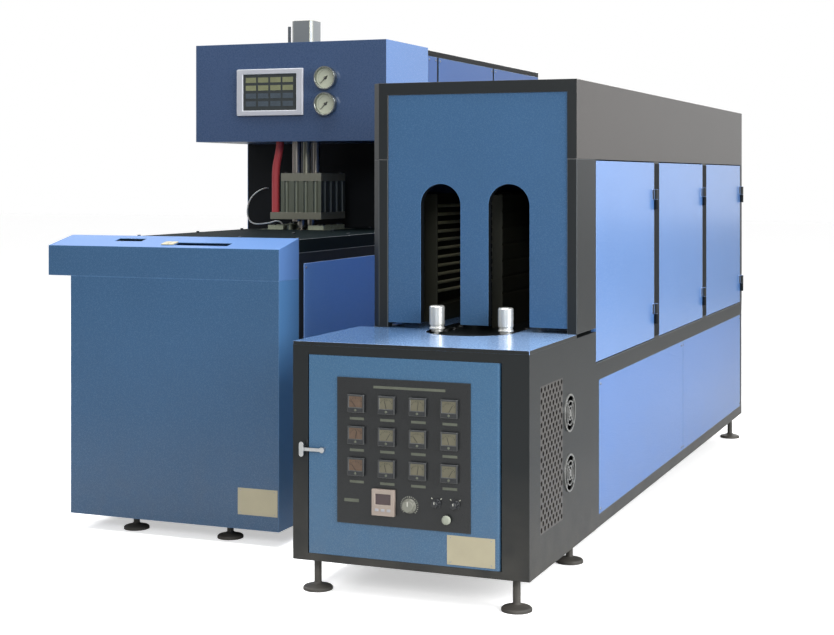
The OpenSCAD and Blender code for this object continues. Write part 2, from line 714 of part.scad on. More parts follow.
// outline of the front panel with its two arched slots
module slot_outline() {
  for (x = slot_x) {
    translate([x, slot_top - slot_w / 2]) circle(d = slot_w);
    translate([x - slot_w / 2, shelf_z - 1]) square([slot_w, slot_top - slot_w / 2 - shelf_z + 1]);
  }
}
module oven_front_panel() {
  color("#44618a") {
    translate([0, oven_y + 4 + sheet, 0]) rotate([90, 0, 0]) linear_extrude(sheet) difference() {
      translate([oven_x + post_l, shelf_z + 18]) square([oven_w - post_l - post_r, oven_h - 42 - shelf_z - 18]);
      slot_outline();
    }
    translate([0, oven_y + 34 + sheet, 0]) rotate([90, 0, 0]) linear_extrude(30) difference() {
      intersection() {
        offset(r = sheet) slot_outline();
        translate([oven_x + post_l, shelf_z + 18]) square([oven_w - post_l - post_r, oven_h - 42 - shelf_z - 18]);
      }
      slot_outline();
    }
  }
}
// hood with its left front corner cut at 45 degrees
module oven_hood() {
  cut = 30;
  wall = sheet + 4;
  color("#5d5d5c") difference() {
    translate([0, 0, hood_z]) linear_extrude(oven_h - hood_z) polygon([[oven_x, oven_y + cut], [oven_x + cut, oven_y],
      [oven_x1, oven_y], [oven_x1, oven_y1], [oven_x, oven_y1]]);
    translate([0, 0, hood_z - 1]) linear_extrude(oven_h - sheet - hood_z + 1)
      polygon([[oven_x + sheet, oven_y + cut + 2.5], [oven_x + cut - 1.5, oven_y + wall], [oven_x1 - sheet, oven_y + wall],
        [oven_x1 - sheet, oven_y1 - sheet], [oven_x + sheet, oven_y1 - sheet]]);
    blk(oven_x + post_l, oven_x1 - post_r, oven_y - 1, oven_y + sheet + 5, hood_z - 1, oven_h - 42);
  }
}

// side door with two hinge knuckles at its rear edge
module oven_door(i) {
  y1 = door_y[i] + door_l - reveal;
  z0 = mid_z + reveal;
  z1 = hood_z - reveal;
  hy = y1 + reveal / 2;
  color("#7ea2e2") {
    difference() {
      blk(oven_x1 - door_t, oven_x1, door_y[i] + reveal, y1, z0, z1);
      blk(oven_x1 - door_t - 1, oven_x1 - sheet, door_y[i] + reveal + sheet, y1 - sheet, z0 + sheet, z1 - sheet);
    }
    for (z = hinge_z) difference() {
      union() {
        translate([hinge_x, hy, z + 0.5]) cylinder(r = knuckle_r, h = 40);
        blk(oven_x1, oven_x1 + 3, y1 - 34, hy - knuckle_r + 4, z + 0.5, z + 40.5);
        blk(oven_x1, hinge_x, hy - knuckle_r, hy - knuckle_r + 4, z + 0.5, z + 40.5);
      }
      translate([hinge_x, hy, z]) cylinder(r = pin_r + pin_c, h = 42);
    }
  }
}
module oven_door_front() { oven_door(0); }
module oven_door_middle() { oven_door(1); }
module oven_door_rear() { oven_door(2); }
module oven_hinges() {
  color("#2b2d2f") for (i = [0 : doors - 1], z = hinge_z) {
    hy = door_y[i] + door_l - reveal / 2;
    translate([hinge_x, hy, z - 40]) cylinder(r = knuckle_r, h = 40);
    translate([hinge_x, hy, z]) cylinder(r = pin_r, h = 38);
    blk(oven_x1, oven_x1 + 3, hy + knuckle_r - 4, hy + 36, z - 40, z);
    blk(oven_x1, hinge_x, hy + knuckle_r - 4, hy + knuckle_r, z - 40, z);
  }
}
// fixed folded panels: lower bays, left side and rear
module oven_panels() {
  bay = (oven_y1 - rear_post - cab_y1 - post) / 2;
  color("#7ea2e2") {
    for (i = [0, 1]) {
      y0 = cab_y1 + post + i * bay + reveal / 2;
      tray_x(oven_x1, 1, y0, y0 + bay - reveal, oven_foot_h + rail_h, mid_z - mid_h);
      tray_x(oven_x, -1, y0, y0 + bay - reveal, oven_foot_h + rail_h, mid_z - mid_h);
    }
    for (i = [0 : doors - 1]) tray_x(oven_x, -1, door_y[i] + reveal, door_y[i] + door_l - reveal, mid_z, hood_z);
    tray_y(oven_y1, oven_x + post, oven_x1 - post, oven_foot_h + rail_h, mid_z - mid_h);
    tray_y(oven_y1, oven_x + post, oven_x1 - post, mid_z, hood_z);
  }
}

// outline of the well that the chain runs in, w / 2 outside its path
module chain_well(w) {
  for (y = [chain_y0, chain_y1]) translate([track_x, y]) circle(r = track_r + w / 2);
  translate([track_x - track_r - w / 2, chain_y0]) square([slot_pitch + w, track_l]);
}
// point at a distance along the chain
function on_track(s) = s < track_l ? [track_x - track_r, chain_y0 + s]
  : s < track_l + PI * track_r ? let (a = 180 - (s - track_l) / track_r * 180 / PI)
      [track_x + track_r * cos(a), chain_y1 + track_r * sin(a)]
  : s < 2 * track_l + PI * track_r ? [track_x + track_r, chain_y1 - (s - track_l - PI * track_r)]
  : let (a = -(s - 2 * track_l - PI * track_r) / track_r * 180 / PI)
      [track_x + track_r * cos(a), chain_y0 + track_r * sin(a)];
link_at = [for (i = [0 : links]) on_track(i == links ? 0 : i * link_p)];

// glossy shelf over the cabinet and the deck round the chain's well
module shelf_deck() {
  color("#8fb0ea") {
    translate([0, 0, cab_t]) linear_extrude(shelf_t) difference() {
      union() {
        translate([cab_x, cab_y]) square([cab_x1 - cab_x, oven_y - cab_y]);
        translate([oven_x + post_l, oven_y]) square([oven_w - post_l - post_r, cover_side]);
        translate([oven_x + post, side_y]) square([oven_w - 2 * post, oven_y1 - rear_post - side_y]);
      }
      chain_well(groove_w);
    }
  }
}
module chain_bed() {
  color("#55585a") difference() {
    blk(oven_x + post, oven_x1 - post, cab_y1, oven_y1 - rear_post, mid_z, chain_z);
    blk(oven_x + post + 12, oven_x1 - post - 12, cab_y1 + 12, oven_y1 - rear_post - 12, mid_z - 1, chain_z - 12);
  }
}
// flat link chain, plates in two layers on round pins
module link_plate(a, b) {
  d = b - a;
  translate(a) circle(d = link_w, $fn = 24);
  translate(b) circle(d = link_w, $fn = 24);
  translate(a) rotate(atan2(d[1], d[0])) translate([0, -link_w / 3]) square([norm(d), link_w * 2 / 3]);
}
module chain() {
  color("#4b4d4e") translate([0, 0, chain_z]) {
    for (k = [0, 1]) translate([0, 0, k * link_t]) linear_extrude(link_t)
      for (i = [k : 2 : links - 1]) link_plate(link_at[i], link_at[i + 1]);
    for (i = [spindle_step : spindle_step : front_link - 1]) translate([link_at[i][0], link_at[i][1], 2 * link_t])
      spindle();
    for (i = [0, front_link]) translate([link_at[i][0], link_at[i][1], 0]) cylinder(r = stud_r, h = 2 * link_t + 38);
  }
}
// spindle with flange and grooved stem
module spindle() {
  r = spindle_d / 2;
  rotate_extrude($fn = 32) polygon([[0, 0], [r - 6, 0], [r - 6, 6], [r, 8], [r, 14], [r - 3, 16], [r - 3, 22],
    [r, 24], [r, spindle_h - 4], [r - 4, spindle_h], [0, spindle_h]]);
}
front_link = links - spindle_step;
// the two spindles at the loading slots turn on studs
module front_spindle(x) {
  color("#c3c5c6") translate([x, chain_y0, chain_z]) difference() {
    translate([0, 0, 2 * link_t + 0.3]) spindle();
    cylinder(r = stud_r + pin_c, h = 2 * link_t + 40);
  }
}
module spindle_left() { front_spindle(slot_x[0]); }
module spindle_right() { front_spindle(slot_x[1]); }

// lamp bank modules with end cheeks, s = -1 left, 1 right
module lamp_banks() {
  color("#b0b2b0") for (s = [-1, 1], i = [0 : doors - 1]) {
    x = track_x + s * (track_r + lamp_off);
    y0 = lamp_y + i * (lamp_l + 10);
    difference() {
      blk(min(x, x + s * bank_d), max(x, x + s * bank_d), y0, y0 + lamp_l, shelf_z, shelf_z + lamp_h);
      blk(min(x - s, x + s * (bank_d - 20)), max(x - s, x + s * (bank_d - 20)), y0 + 6, y0 + lamp_l - 6,
        shelf_z + 60, shelf_z + lamp_h + 1);
    }
  }
}
module lamp_tubes() {
  color("#e9d9c0") for (s = [-1, 1], i = [0 : doors - 1], k = [0 : lamps - 1])
    translate([track_x + s * (track_r + lamp_off + 16), lamp_y + i * (lamp_l + 10) + 6,
      shelf_z + 108 + k * lamp_pitch]) rod_y(lamp_d / 2, lamp_l - 12, $fn = 16);
}
module centre_reflector() {
  color("#cfd0cd") difference() {
    blk(track_x - 20, track_x + 20, lamp_y, chain_y1 - 60, chain_z, shelf_z + lamp_h);
    for (s = [-1, 1], k = [0 : 5]) translate([track_x + s * 27, lamp_y - 1, shelf_z + 110 + k * 58])
      rod_y(9, chain_y1 - 58 - lamp_y, $fn = 24);
  }
}

// control cabinet under the shelf, with door opening and vent windows
module control_cabinet() {
  color("#34383b") {
    difference() {
      blk(cab_x, cab_x1, cab_y, cab_y1, oven_foot_h, cab_t);
      blk(cab_x + sheet, cab_x1 - sheet, cab_y + cdoor_t + reveal, cab_y1 - sheet, oven_foot_h + sheet, cab_t - sheet);
      blk(cd_x0 - reveal / 2, cd_x1 + 0.5, cab_y - 1, cab_y + cdoor_t + reveal + 1, cd_z0 - 0.5, cd_z1 + 0.5);
      blk(cab_x1 - sheet - 1, cab_x1 + 1, vent_y - 12, vent_y + (vent_cols - 1) * vent_p + 12,
        vent_z - 12, vent_z + (vent_rows - 1) * vent_p + 12);
      for (z = fan_z) translate([cab_x1 - sheet - 1, fan_y, z]) rod_x(fan_d / 2, sheet + 2);
      translate([0, 0, cd_z0 - 0.5]) linear_extrude(cd_z1 - cd_z0 + 1)
        polygon([[cd_x1, cab_y - 1], [cd_x1 + 6, cab_y - 1], [cd_x1 + 0.5, cab_y + 12], [cd_x1, cab_y + 12]]);
    }
    for (z = [cd_z0 - 0.5, cd_z1 - 12]) translate([cd_x1 - cd_pin, cab_y + cd_pin, z]) cylinder(r = 4, h = 12.5);
  }
}
module control_door() {
  color("#5577ab") difference() {
    translate([0, 0, cd_z0 + 0.3]) linear_extrude(cd_z1 - cd_z0 - 0.6) {
      translate([cd_x0 + reveal / 2, cab_y]) square([cd_x1 - cd_pin - cd_x0 - reveal / 2, cdoor_t]);
      translate([cd_x1 - cd_pin, cab_y + cd_pin]) circle(r = cd_pin);
    }
    for (z = [cd_z0 - 1, cd_z1 - 12.3]) translate([cd_x1 - cd_pin, cab_y + cd_pin, z])
      cylinder(r = 4 + pin_c, h = 13.5);
    translate([latch_x, cab_y - 1, latch_z]) rod_y(5 + pin_c, cdoor_t + 2);
    for (i = [0 : 2]) translate([knob_x[i], cab_y - 1, knob_z[i]]) rod_y(3 + pin_c, 16);
    translate([dial_x, cab_y - 1, ctrl_z]) rod_y(3 + pin_c, 16);
  }
}
// lever latch: hub, flat arm and upright grip over the frame
module door_latch() {
  color("#c9cbcc") translate([latch_x, cab_y - 0.3, latch_z]) rotate([90, 0, 0]) {
    cylinder(r = 9, h = latch_t);
    translate([-70, -5.5, 5]) cube([70, 11, latch_t - 5]);
    translate([-77, -16, 5]) cube([16, 32, latch_t]);
    for (y = [-16, 16]) translate([-69, y, 5]) cylinder(r = 8, h = latch_t);
    translate([0, 0, -cdoor_t + 2]) cylinder(r = 5, h = cdoor_t);
  }
}
module control_fascia() {
  color("#17191b") difference() {
    blk(fascia_x, fascia_x + fascia_w, face_y, cab_y, fascia_z, fascia_z + fascia_h);
    for (i = [0 : 2]) translate([knob_x[i], face_y - 1, knob_z[i]]) rod_y(3 + pin_c, fascia_t + 2);
    translate([dial_x, face_y - 1, ctrl_z]) rod_y(3 + pin_c, fascia_t + 2);
  }
}
// twelve square meters in three rows of four
module panel_meters() {
  s = meter_s;
  color("#202326") for (c = [0 : 3], r = [0 : 2]) translate([meter_x + c * meter_px, face_y, meter_z - r * meter_pz])
    rotate([90, 0, 0]) difference() {
      translate([-s / 2, -s / 2, 0]) cube([s, s, 12]);
      translate([-s / 2 + 5, -s / 2 + 16, 9]) cube([s - 10, s - 21, 4]);
    }
}
module temperature_controller() {
  s = ctrl_s;
  color("#d9d2bd") translate([ctrl_x, face_y, ctrl_z]) rotate([90, 0, 0]) difference() {
    translate([-s / 2, -s / 2 + 2, 0]) cube([s, s + 6, 14]);
    translate([-s / 2 + 12, -2, 11]) cube([s - 24, s / 2 - 4, 4]);
  }
}
// knob with a skirt, flutes and a shaft
module knob(d, h) {
  difference() {
    rotate_extrude() polygon([[0, 0.3], [d / 2, 0.3], [d / 2, 4], [d / 2 - 4, 6], [d / 2 - 5, h - 1], [d / 2 - 6, h], [0, h]]);
    for (a = [0 : 45 : 315]) rotate(a) translate([d / 2 - 3, 0, 4]) cylinder(r = 2.4, h = h, $fn = 16);
  }
  translate([0, 0, -fascia_t - 12]) cylinder(r = 3, h = fascia_t + 13);
}
module round_dial() { color("#d0cfc6") translate([dial_x, face_y, ctrl_z]) rotate([90, 0, 0]) knob(knob_d + 16, 18); }
module selector_left() { color("#151617") translate([knob_x[0], face_y, knob_z[0]]) rotate([90, 0, 0]) knob(knob_d, 22); }
module selector_right() { color("#151617") translate([knob_x[1], face_y, knob_z[1]]) rotate([90, 0, 0]) knob(knob_d, 22); }
module push_button() {
  color("#151617") translate([knob_x[2], face_y, knob_z[2]]) rotate([90, 0, 0]) rotate_extrude()
    polygon([[0, -14], [3, -14], [3, 5], [12, 5], [14, 8], [14, 14], [10, 17], [0, 18]]);
}

// perforated vent plate with staggered holes
module side_grille() {
  color("#4d4c4a") translate([cab_x1 - sheet, 0, 0]) rotate([90, 0, 90]) linear_extrude(sheet) difference() {
    translate([vent_y - 12, vent_z - 12]) square([(vent_cols - 1) * vent_p + 24, (vent_rows - 1) * vent_p + 24]);
    for (r = [0 : vent_rows - 1], c = [0 : vent_cols - 1]) translate([vent_y + c * vent_p, vent_z + r * vent_p])
      circle(d = vent_d, $fn = 16);
    for (r = [0 : vent_rows - 2], c = [0 : vent_cols - 2])
      translate([vent_y + (c + 0.5) * vent_p, vent_z + (r + 0.5) * vent_p]) circle(d = vent_d, $fn = 16);
  }
}
// fan frames with guard rings, struts and a hub
module fan_frames() {
  color("#8d8f90") for (z = fan_z) translate([cab_x1, fan_y, z]) rotate([0, 90, 0]) {
    difference() {
      cylinder(d = fan_d + 8, h = 4);
      translate([0, 0, -1]) cylinder(d = fan_d - 4, h = 6);
    }
    for (d = [44, 78]) difference() {
      cylinder(d = d + 4, h = 4);
      translate([0, 0, -1]) cylinder(d = d - 4, h = 6);
    }
    for (a = [0 : 90 : 270]) rotate(a + 45) translate([0, -2, 0]) cube([fan_d / 2 - 1, 4, 4]);
    translate([0, 0, -fan_depth]) cylinder(r = 4, h = fan_depth + 4);
    cylinder(r = 12, h = 4);
  }
}
// rotor with a turned hub and pitched blades
module fan_rotor(z) {
  color("#3b3d3f") translate([cab_x1 - fan_depth + 2, fan_y, z]) rotate([0, 90, 0]) difference() {
    union() {
      rotate_extrude() polygon([[0, 0], [18, 0], [20, 2], [20, 15], [18, 18], [0, 18]]);
      for (a = [0 : 360 / 7 : 359]) rotate(a) translate([18, 0, 9]) rotate([38, 0, 0]) translate([0, -11, -1])
        cube([fan_d / 2 - 24, 22, 2]);
    }
    translate([0, 0, -1]) cylinder(r = 4 + pin_c, h = 20);
  }
}
module fan_rotor_upper() { fan_rotor(fan_z[1]); }
module fan_rotor_lower() { fan_rotor(fan_z[0]); }
// levelling feet: pad, cone and stem
module levelling_feet() {
  module foot(h) {
    rotate_extrude() polygon([[0, 0], [48, 0], [48, 8], [44, 12], [16, 20], [12, 24], [12, h], [0, h]]);
  }
  color("#1e1f20") {
    for (p = [[cover_x + foot_base_in, blower_y + foot_base_front],
      [blower_x - foot_base_in, blower_y + foot_base_front],
      [tower_x + post / 2, tower_y1 - foot_in], [tower_x1 - post / 2, tower_y1 - foot_in],
      [tower_x + post / 2, tower_y + foot_in], [tower_x1 - post / 2, tower_y + foot_in]])
      translate(p) foot(blower_foot_h);
    for (p = [[cab_x + foot_in, cab_y + foot_in], [cab_x1 - foot_in, cab_y + foot_in],
      [cab_x + foot_left_in, cab_y1 - foot_in], [cab_x1 - foot_right_in, cab_y1 - foot_in],
      [oven_x + post - 4, oven_y1 - foot_oven_in], [oven_x1 - post + 4, oven_y1 - foot_oven_in]])
      translate(p) foot(oven_foot_h);
  }
}

blower_frame();
front_cabinet();
table_top();
bed_plate();
base_side_panels();
tower_panels();
header_shell();
screen_bezel();
screen_glass();
gauge_cases();
gauge_needle_upper();
gauge_needle_lower();
guide_rods();
head_top_plate();
head_block();
head_bottom_plate();
blow_nozzles();
lift_cylinder();
stretch_carriage();
stretch_rods();
clamp_end_plates();
tie_bars();
clamp_cylinders();
platen_left();
mould_left();
platen_right();
mould_right();
air_hose();
red_hose();
oven_frame();
oven_front_panel();
oven_hood();
oven_door_front();
oven_door_middle();
oven_door_rear();
oven_hinges();
oven_panels();
shelf_deck();
chain_bed();
chain();
spindle_left();
spindle_right();
lamp_banks();
lamp_tubes();
centre_reflector();
control_cabinet();
control_door();
door_latch();
control_fascia();
panel_meters();
temperature_controller();
round_dial();
selector_left();
selector_right();
push_button();
side_grille();
fan_frames();
fan_rotor_upper();
fan_rotor_lower();
levelling_feet();
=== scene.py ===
import math

import bmesh
import bpy
from mathutils import Matrix, Vector


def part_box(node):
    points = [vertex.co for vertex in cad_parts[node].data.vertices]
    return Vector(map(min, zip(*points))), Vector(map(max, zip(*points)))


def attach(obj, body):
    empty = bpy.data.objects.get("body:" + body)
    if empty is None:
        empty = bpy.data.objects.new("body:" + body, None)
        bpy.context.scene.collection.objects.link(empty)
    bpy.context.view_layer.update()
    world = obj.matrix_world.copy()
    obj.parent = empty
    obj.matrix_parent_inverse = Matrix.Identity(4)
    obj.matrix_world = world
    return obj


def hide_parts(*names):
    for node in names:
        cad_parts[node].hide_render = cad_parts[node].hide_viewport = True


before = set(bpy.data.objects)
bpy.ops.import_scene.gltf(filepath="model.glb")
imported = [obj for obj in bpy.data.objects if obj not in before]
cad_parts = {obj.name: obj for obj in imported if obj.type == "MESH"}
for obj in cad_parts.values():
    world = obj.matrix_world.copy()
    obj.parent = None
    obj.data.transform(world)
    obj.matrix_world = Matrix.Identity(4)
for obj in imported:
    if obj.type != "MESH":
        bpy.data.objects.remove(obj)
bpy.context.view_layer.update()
scene = bpy.context.scene
scene.view_settings.view_transform = "Standard"

# Camera: at a visitor's eye height, level, turned left of the machine's length. The picture's
# frame hangs below the horizon, which is what the shift is for.
eye = bpy.data.cameras.new("eye")
eye.sensor_width = 36.0
eye.lens = 66.74
eye.shift_y = -0.1689
camera = bpy.data.objects.new("camera", eye)
camera.location = (2.446, -6.223, 1.325)
camera.rotation_euler = (math.radians(90), 0, math.radians(21.877))
scene.collection.objects.link(camera)
scene.camera = camera


# Air hose: 6 mm white polyurethane tube from the station's rear wall, looped out to the left
# in its own set and down to the bed. Extruded, so smooth and faintly see-through.
def linear(code):
    """An sRGB hex colour as linear RGBA."""
    part = [int(code[i : i + 2], 16) / 255 for i in (1, 3, 5)]
    return [c / 12.92 if c <= 0.04045 else ((c + 0.055) / 1.055) ** 2.4 for c in part] + [1.0]


def add(tree, kind, values=None, links=None, **settings):
    """Adds a node: settings are its properties, values and links go to its sockets."""
    node = tree.nodes.new(kind)
    for key, value in settings.items():
        setattr(node, key, value)
    for key, value in (values or {}).items():
        node.inputs[key].default_value = value
    for key, source in (links or {}).items():
        tree.links.new(source, node.inputs[key])
    return node


def surface(
    name,
    colour,
    rough,
    metal=0.0,
    drift=(300, 0.06),
    grain=(2, 0.08, 0.1),
    lay=(1, 1, 1),
    soil=0.0,
    coat=0.0,
    shine=0.5,
):
    """A finish with sizes in mm. drift: size and strength of the slow change of colour.
    grain: size, spread of roughness and relief of the fine texture. lay: how many times finer
    it is along x, y and z, for tool and drawing lines. soil: dust near the floor. coat: a clear
    top coat. shine: how much the skin mirrors straight on, 0.5 for a clear resin and less for
    a chalky or sooty one."""
    drift_size, drift_strength = drift
    grain_size, rough_spread, relief = grain
    made = bpy.data.materials.new(name)
    made.use_nodes = True
    tree = made.node_tree
    shader = tree.nodes["Principled BSDF"]
    shader.inputs["Metallic"].default_value = metal
    shader.inputs["Coat Weight"].default_value = coat
    shader.inputs["Coat Roughness"].default_value = 0.12
    shader.inputs["Specular IOR Level"].default_value = shine
    place = add(tree, "ShaderNodeTexCoord").outputs["Object"]

    # Colour, drifting a little darker and paler than its own value from place to place.
    broad = {"Scale": 1000 / drift_size, "Detail": 5.0}
    slow = add(tree, "ShaderNodeTexNoise", broad, {"Vector": place}).outputs["Fac"]
    base = linear(colour)[:3]
    dark = [c * (1 - drift_strength) for c in base] + [1]
    pale = [min(1, c * (1 + drift_strength)) for c in base] + [1]
    tints = {"A": dark, "B": pale}
    tint = add(tree, "ShaderNodeMix", tints, {"Factor": slow}, data_type="RGBA").outputs["Result"]
    if soil:
        # Dust from the floor, full at 40 mm up and gone at 450 mm, in clouds of 70 mm.
        height = add(tree, "ShaderNodeSeparateXYZ", links={"Vector": place}).outputs["Z"]
        thinning = {"From Min": 0.45, "From Max": 0.04, "To Min": 0.0, "To Max": soil}
        fade = add(tree, "ShaderNodeMapRange", thinning, {"Value": height}).outputs["Result"]
        clouds = {"Scale": 14.0, "Detail": 6.0}
        cloud = add(tree, "ShaderNodeTexNoise", clouds, {"Vector": place}).outputs["Fac"]
        much = add(tree, "ShaderNodeMath", links={0: fade, 1: cloud}, operation="MULTIPLY")
        dust = {"B": linear("#6f6a62")}
        over = {"Factor": much.outputs[0], "A": tint}
        tint = add(tree, "ShaderNodeMix", dust, over, data_type="RGBA").outputs["Result"]
    tree.links.new(tint, shader.inputs["Base Color"])

    # Fine texture, in the roughness and in a relief of an eighth of its own size. The noise
    # itself stays mostly between 0.3 and 0.7.
    laid = add(tree, "ShaderNodeMapping", {"Scale": lay}, {"Vector": place}).outputs["Vector"]
    close = {"Scale": 1000 / grain_size, "Detail": 3.0}
    fine = add(tree, "ShaderNodeTexNoise", close, {"Vector": laid}).outputs["Fac"]
    spread = {
        "From Min": 0.3,
        "From Max": 0.7,
        "To Min": max(0.04, rough - rough_spread),
        "To Max": min(1, rough + rough_spread),
    }
    uneven = add(tree, "ShaderNodeMapRange", spread, {"Value": fine}).outputs["Result"]
    tree.links.new(uneven, shader.inputs["Roughness"])
    hills = {"Strength": relief, "Distance": grain_size / 8000}
    bump = add(tree, "ShaderNodeBump", hills, {"Height": fine})
    tree.links.new(bump.outputs["Normal"], shader.inputs["Normal"])
    return made


def smooth_path(points):
    """A denser path through the points, each span rounded by its neighbours, in metres."""
    steps = 6
    points = [Vector(p) / 1000 for p in points]
    path = []
    for i in range(len(points) - 1):
        a, b = points[max(i - 1, 0)], points[i]
        c, d = points[i + 1], points[min(i + 2, len(points) - 1)]
        for k in range(steps):
            t = k / steps
            bend = (2 * a - 5 * b + 4 * c - d) * t**2 + (3 * b - a - 3 * c + d) * t**3
            path.append(0.5 * (2 * b + (c - a) * t + bend))
    return path + [points[-1]]


def hose(name, points, diameter, finish, body):
    """A hose held at both ends, along a rounded line through the points. Diameter in metres."""
    path = smooth_path(points)
    line = bpy.data.curves.new(name, "CURVE")
    line.dimensions = "3D"
    line.bevel_depth = diameter / 2
    line.bevel_resolution = 5
    line.use_fill_caps = True
    spline = line.splines.new("POLY")
    spline.points.add(len(path) - 1)
    for knot, p in zip(spline.points, path):
        knot.co = (*p, 1)
    made = bpy.data.objects.new(name, line)
    scene.collection.objects.link(made)
    line.materials.append(finish)
    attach(made, body)
    return made


tube_white = surface("extruded_polyurethane_white", "#a4a7a6", 0.3, grain=(3, 0.04, 0.02))
tube_white.node_tree.nodes["Principled BSDF"].inputs["Subsurface Weight"].default_value = 0.05
air_hose_points = [
    (-868, 176.7, 1272), (-869, 158, 1272), (-875, 142, 1269), (-888, 131, 1262),
    (-905, 126, 1250), (-922, 125, 1235), (-937, 126, 1215), (-948, 128, 1190),
    (-952, 130, 1161), (-948, 130, 1137), (-936, 130, 1119), (-918, 130, 1109),
    (-895, 130, 1107), (-866, 130, 1109), (-834, 130, 1114), (-810, 130, 1120),
    (-795, 130, 1121.5), (-781, 130, 1117.5), (-771, 130, 1108), (-767, 130, 1095.3),
]
air = hose("air_hose_tube", air_hose_points, 0.006, tube_white, "root")
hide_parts("air_hose")

# Red hose: 34 mm high-pressure blowing hose, from the header's underside to the head's lower
# plate. Rubber cover with a cloth pattern pressed into it, so a dull, lightly ribbed red.
rubber_red = surface("cloth_wrapped_rubber_red", "#a5353b", 0.55, grain=(3, 0.08, 0.3))
red_hose_points = [
    (-625, -178, 1500), (-625, -178, 1475), (-628, -178, 1445), (-634, -178, 1415),
    (-641, -178, 1385), (-646, -178, 1350), (-647, -178, 1310), (-647, -178, 1270),
    (-647, -178, 1220), (-647, -178, 1170.3),
]
red = hose("red_hose_tube", red_hose_points, 0.034, rubber_red, "blow_head")
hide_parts("red_hose")

# Studio: a white floor that runs on into a white background, which gloss mirrors too, dimmer
# towards the room in front. One broad lamp for the long side, softer ones for the rest.
ground = bpy.data.meshes.new("floor")
ground.from_pydata([(-40, -40, 0), (40, -40, 0), (40, 40, 0), (-40, 40, 0)], [], [(0, 1, 2, 3)])
floor = bpy.data.objects.new("floor", ground)
scene.collection.objects.link(floor)
white_floor = bpy.data.materials.new("white_studio_floor")
white_floor.use_nodes = True
tree = white_floor.node_tree
seen = add(tree, "ShaderNodeLightPath").outputs["Is Camera Ray"]
floor_whites = {"A": linear("#b4b4b2"), "B": linear("#ffffff")}
floor_tint = add(tree, "ShaderNodeMix", floor_whites, {"Factor": seen}, data_type="RGBA")
shader = tree.nodes["Principled BSDF"]
shader.inputs["Roughness"].default_value = 0.7
shader.inputs["Emission Color"].default_value = (1, 1, 1, 1)
lift = add(tree, "ShaderNodeMath", {1: 0.5}, {0: seen}, operation="MULTIPLY")
tree.links.new(lift.outputs[0], shader.inputs["Emission Strength"])
tree.links.new(floor_tint.outputs["Result"], shader.inputs["Base Color"])
ground.materials.append(white_floor)

world = bpy.data.worlds.new("studio")
scene.world = world
world.use_nodes = True
tree = world.node_tree
rays = add(tree, "ShaderNodeLightPath").outputs
looked_at = add(tree, "ShaderNodeTexCoord").outputs["Generated"]
toward = add(tree, "ShaderNodeSeparateXYZ", links={"Vector": looked_at}).outputs["Y"]
front_to_back = {"From Min": -0.9, "From Max": 0.1, "To Min": 0.35, "To Max": 1.0}
dimmer = add(tree, "ShaderNodeMapRange", front_to_back, {"Value": toward}).outputs["Result"]
mirrored = {"Factor": rays["Is Glossy Ray"], "B": dimmer}
lit = add(tree, "ShaderNodeMix", {"A": 0.42}, mirrored).outputs["Result"]
direct = {0: rays["Is Camera Ray"], 1: rays["Is Transmission Ray"]}
clear = add(tree, "ShaderNodeMath", links=direct, operation="MAXIMUM").outputs[0]
level = add(tree, "ShaderNodeMix", {"B": 1.0}, {"Factor": clear, "A": lit}).outputs["Result"]
sky = tree.nodes["Background"]
sky.inputs["Color"].default_value = (1, 1, 1, 1)
tree.links.new(level, sky.inputs["Strength"])


def lamp(name, place, aim, size, power):
    """A square soft lamp that faces a point, in metres and watts."""
    light = bpy.data.lights.new(name, "AREA")
    light.size = size
    light.energy = power
    made = bpy.data.objects.new(name, light)
    made.location = place
    made.rotation_euler = (Vector(aim) - Vector(place)).to_track_quat("-Z", "Y").to_euler()
    scene.collection.objects.link(made)


lamp("long_side_lamp", (7.2, -3.2, 3.6), (0.6, -0.4, 0.9), 4.0, 690)
lamp("front_lamp", (2.4, -9.3, 4.6), (0, -0.8, 0.8), 2.6, 350)
lamp("top_lamp", (0.0, -0.5, 6.5), (0, -0.5, 0), 5.0, 560)
lamp("left_lamp", (-6.2, -0.6, 6.0), (-0.5, 0, 0.9), 3.4, 330)
lamp("rear_lamp", (-0.6, 9.5, 3.8), (-0.2, 1.6, 0.9), 2.4, 260)


# Station frame: 40 mm square steel tube, welded, with the roof and the dark rear wall of the
# station. Sprayed with a fine textured black paint, so dull, and rubbed grey at its edges.
def piece(name, mesh, finishes, body, stands_for=(), scale=0.001):
    """Turns the mesh under work into a piece of the machine. It is in mm unless scale says
    otherwise."""
    bmesh.ops.triangulate(mesh, faces=[f for f in mesh.faces if len(f.verts) > 4])
    bmesh.ops.recalc_face_normals(mesh, faces=mesh.faces)
    data = bpy.data.meshes.new(name)
    mesh.to_mesh(data)
    mesh.free()
    data.transform(Matrix.Scale(scale, 4))
    data.shade_smooth()
    data.set_sharp_from_angle(angle=math.radians(32))
    for finish in finishes:
        data.materials.append(finish)
    made = bpy.data.objects.new(name, data)
    scene.collection.objects.link(made)
    weigh = made.modifiers.new("even_shading", "WEIGHTED_NORMAL")
    weigh.keep_sharp = True
    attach(made, body)
    if stands_for:
        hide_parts(*stands_for)
    return made


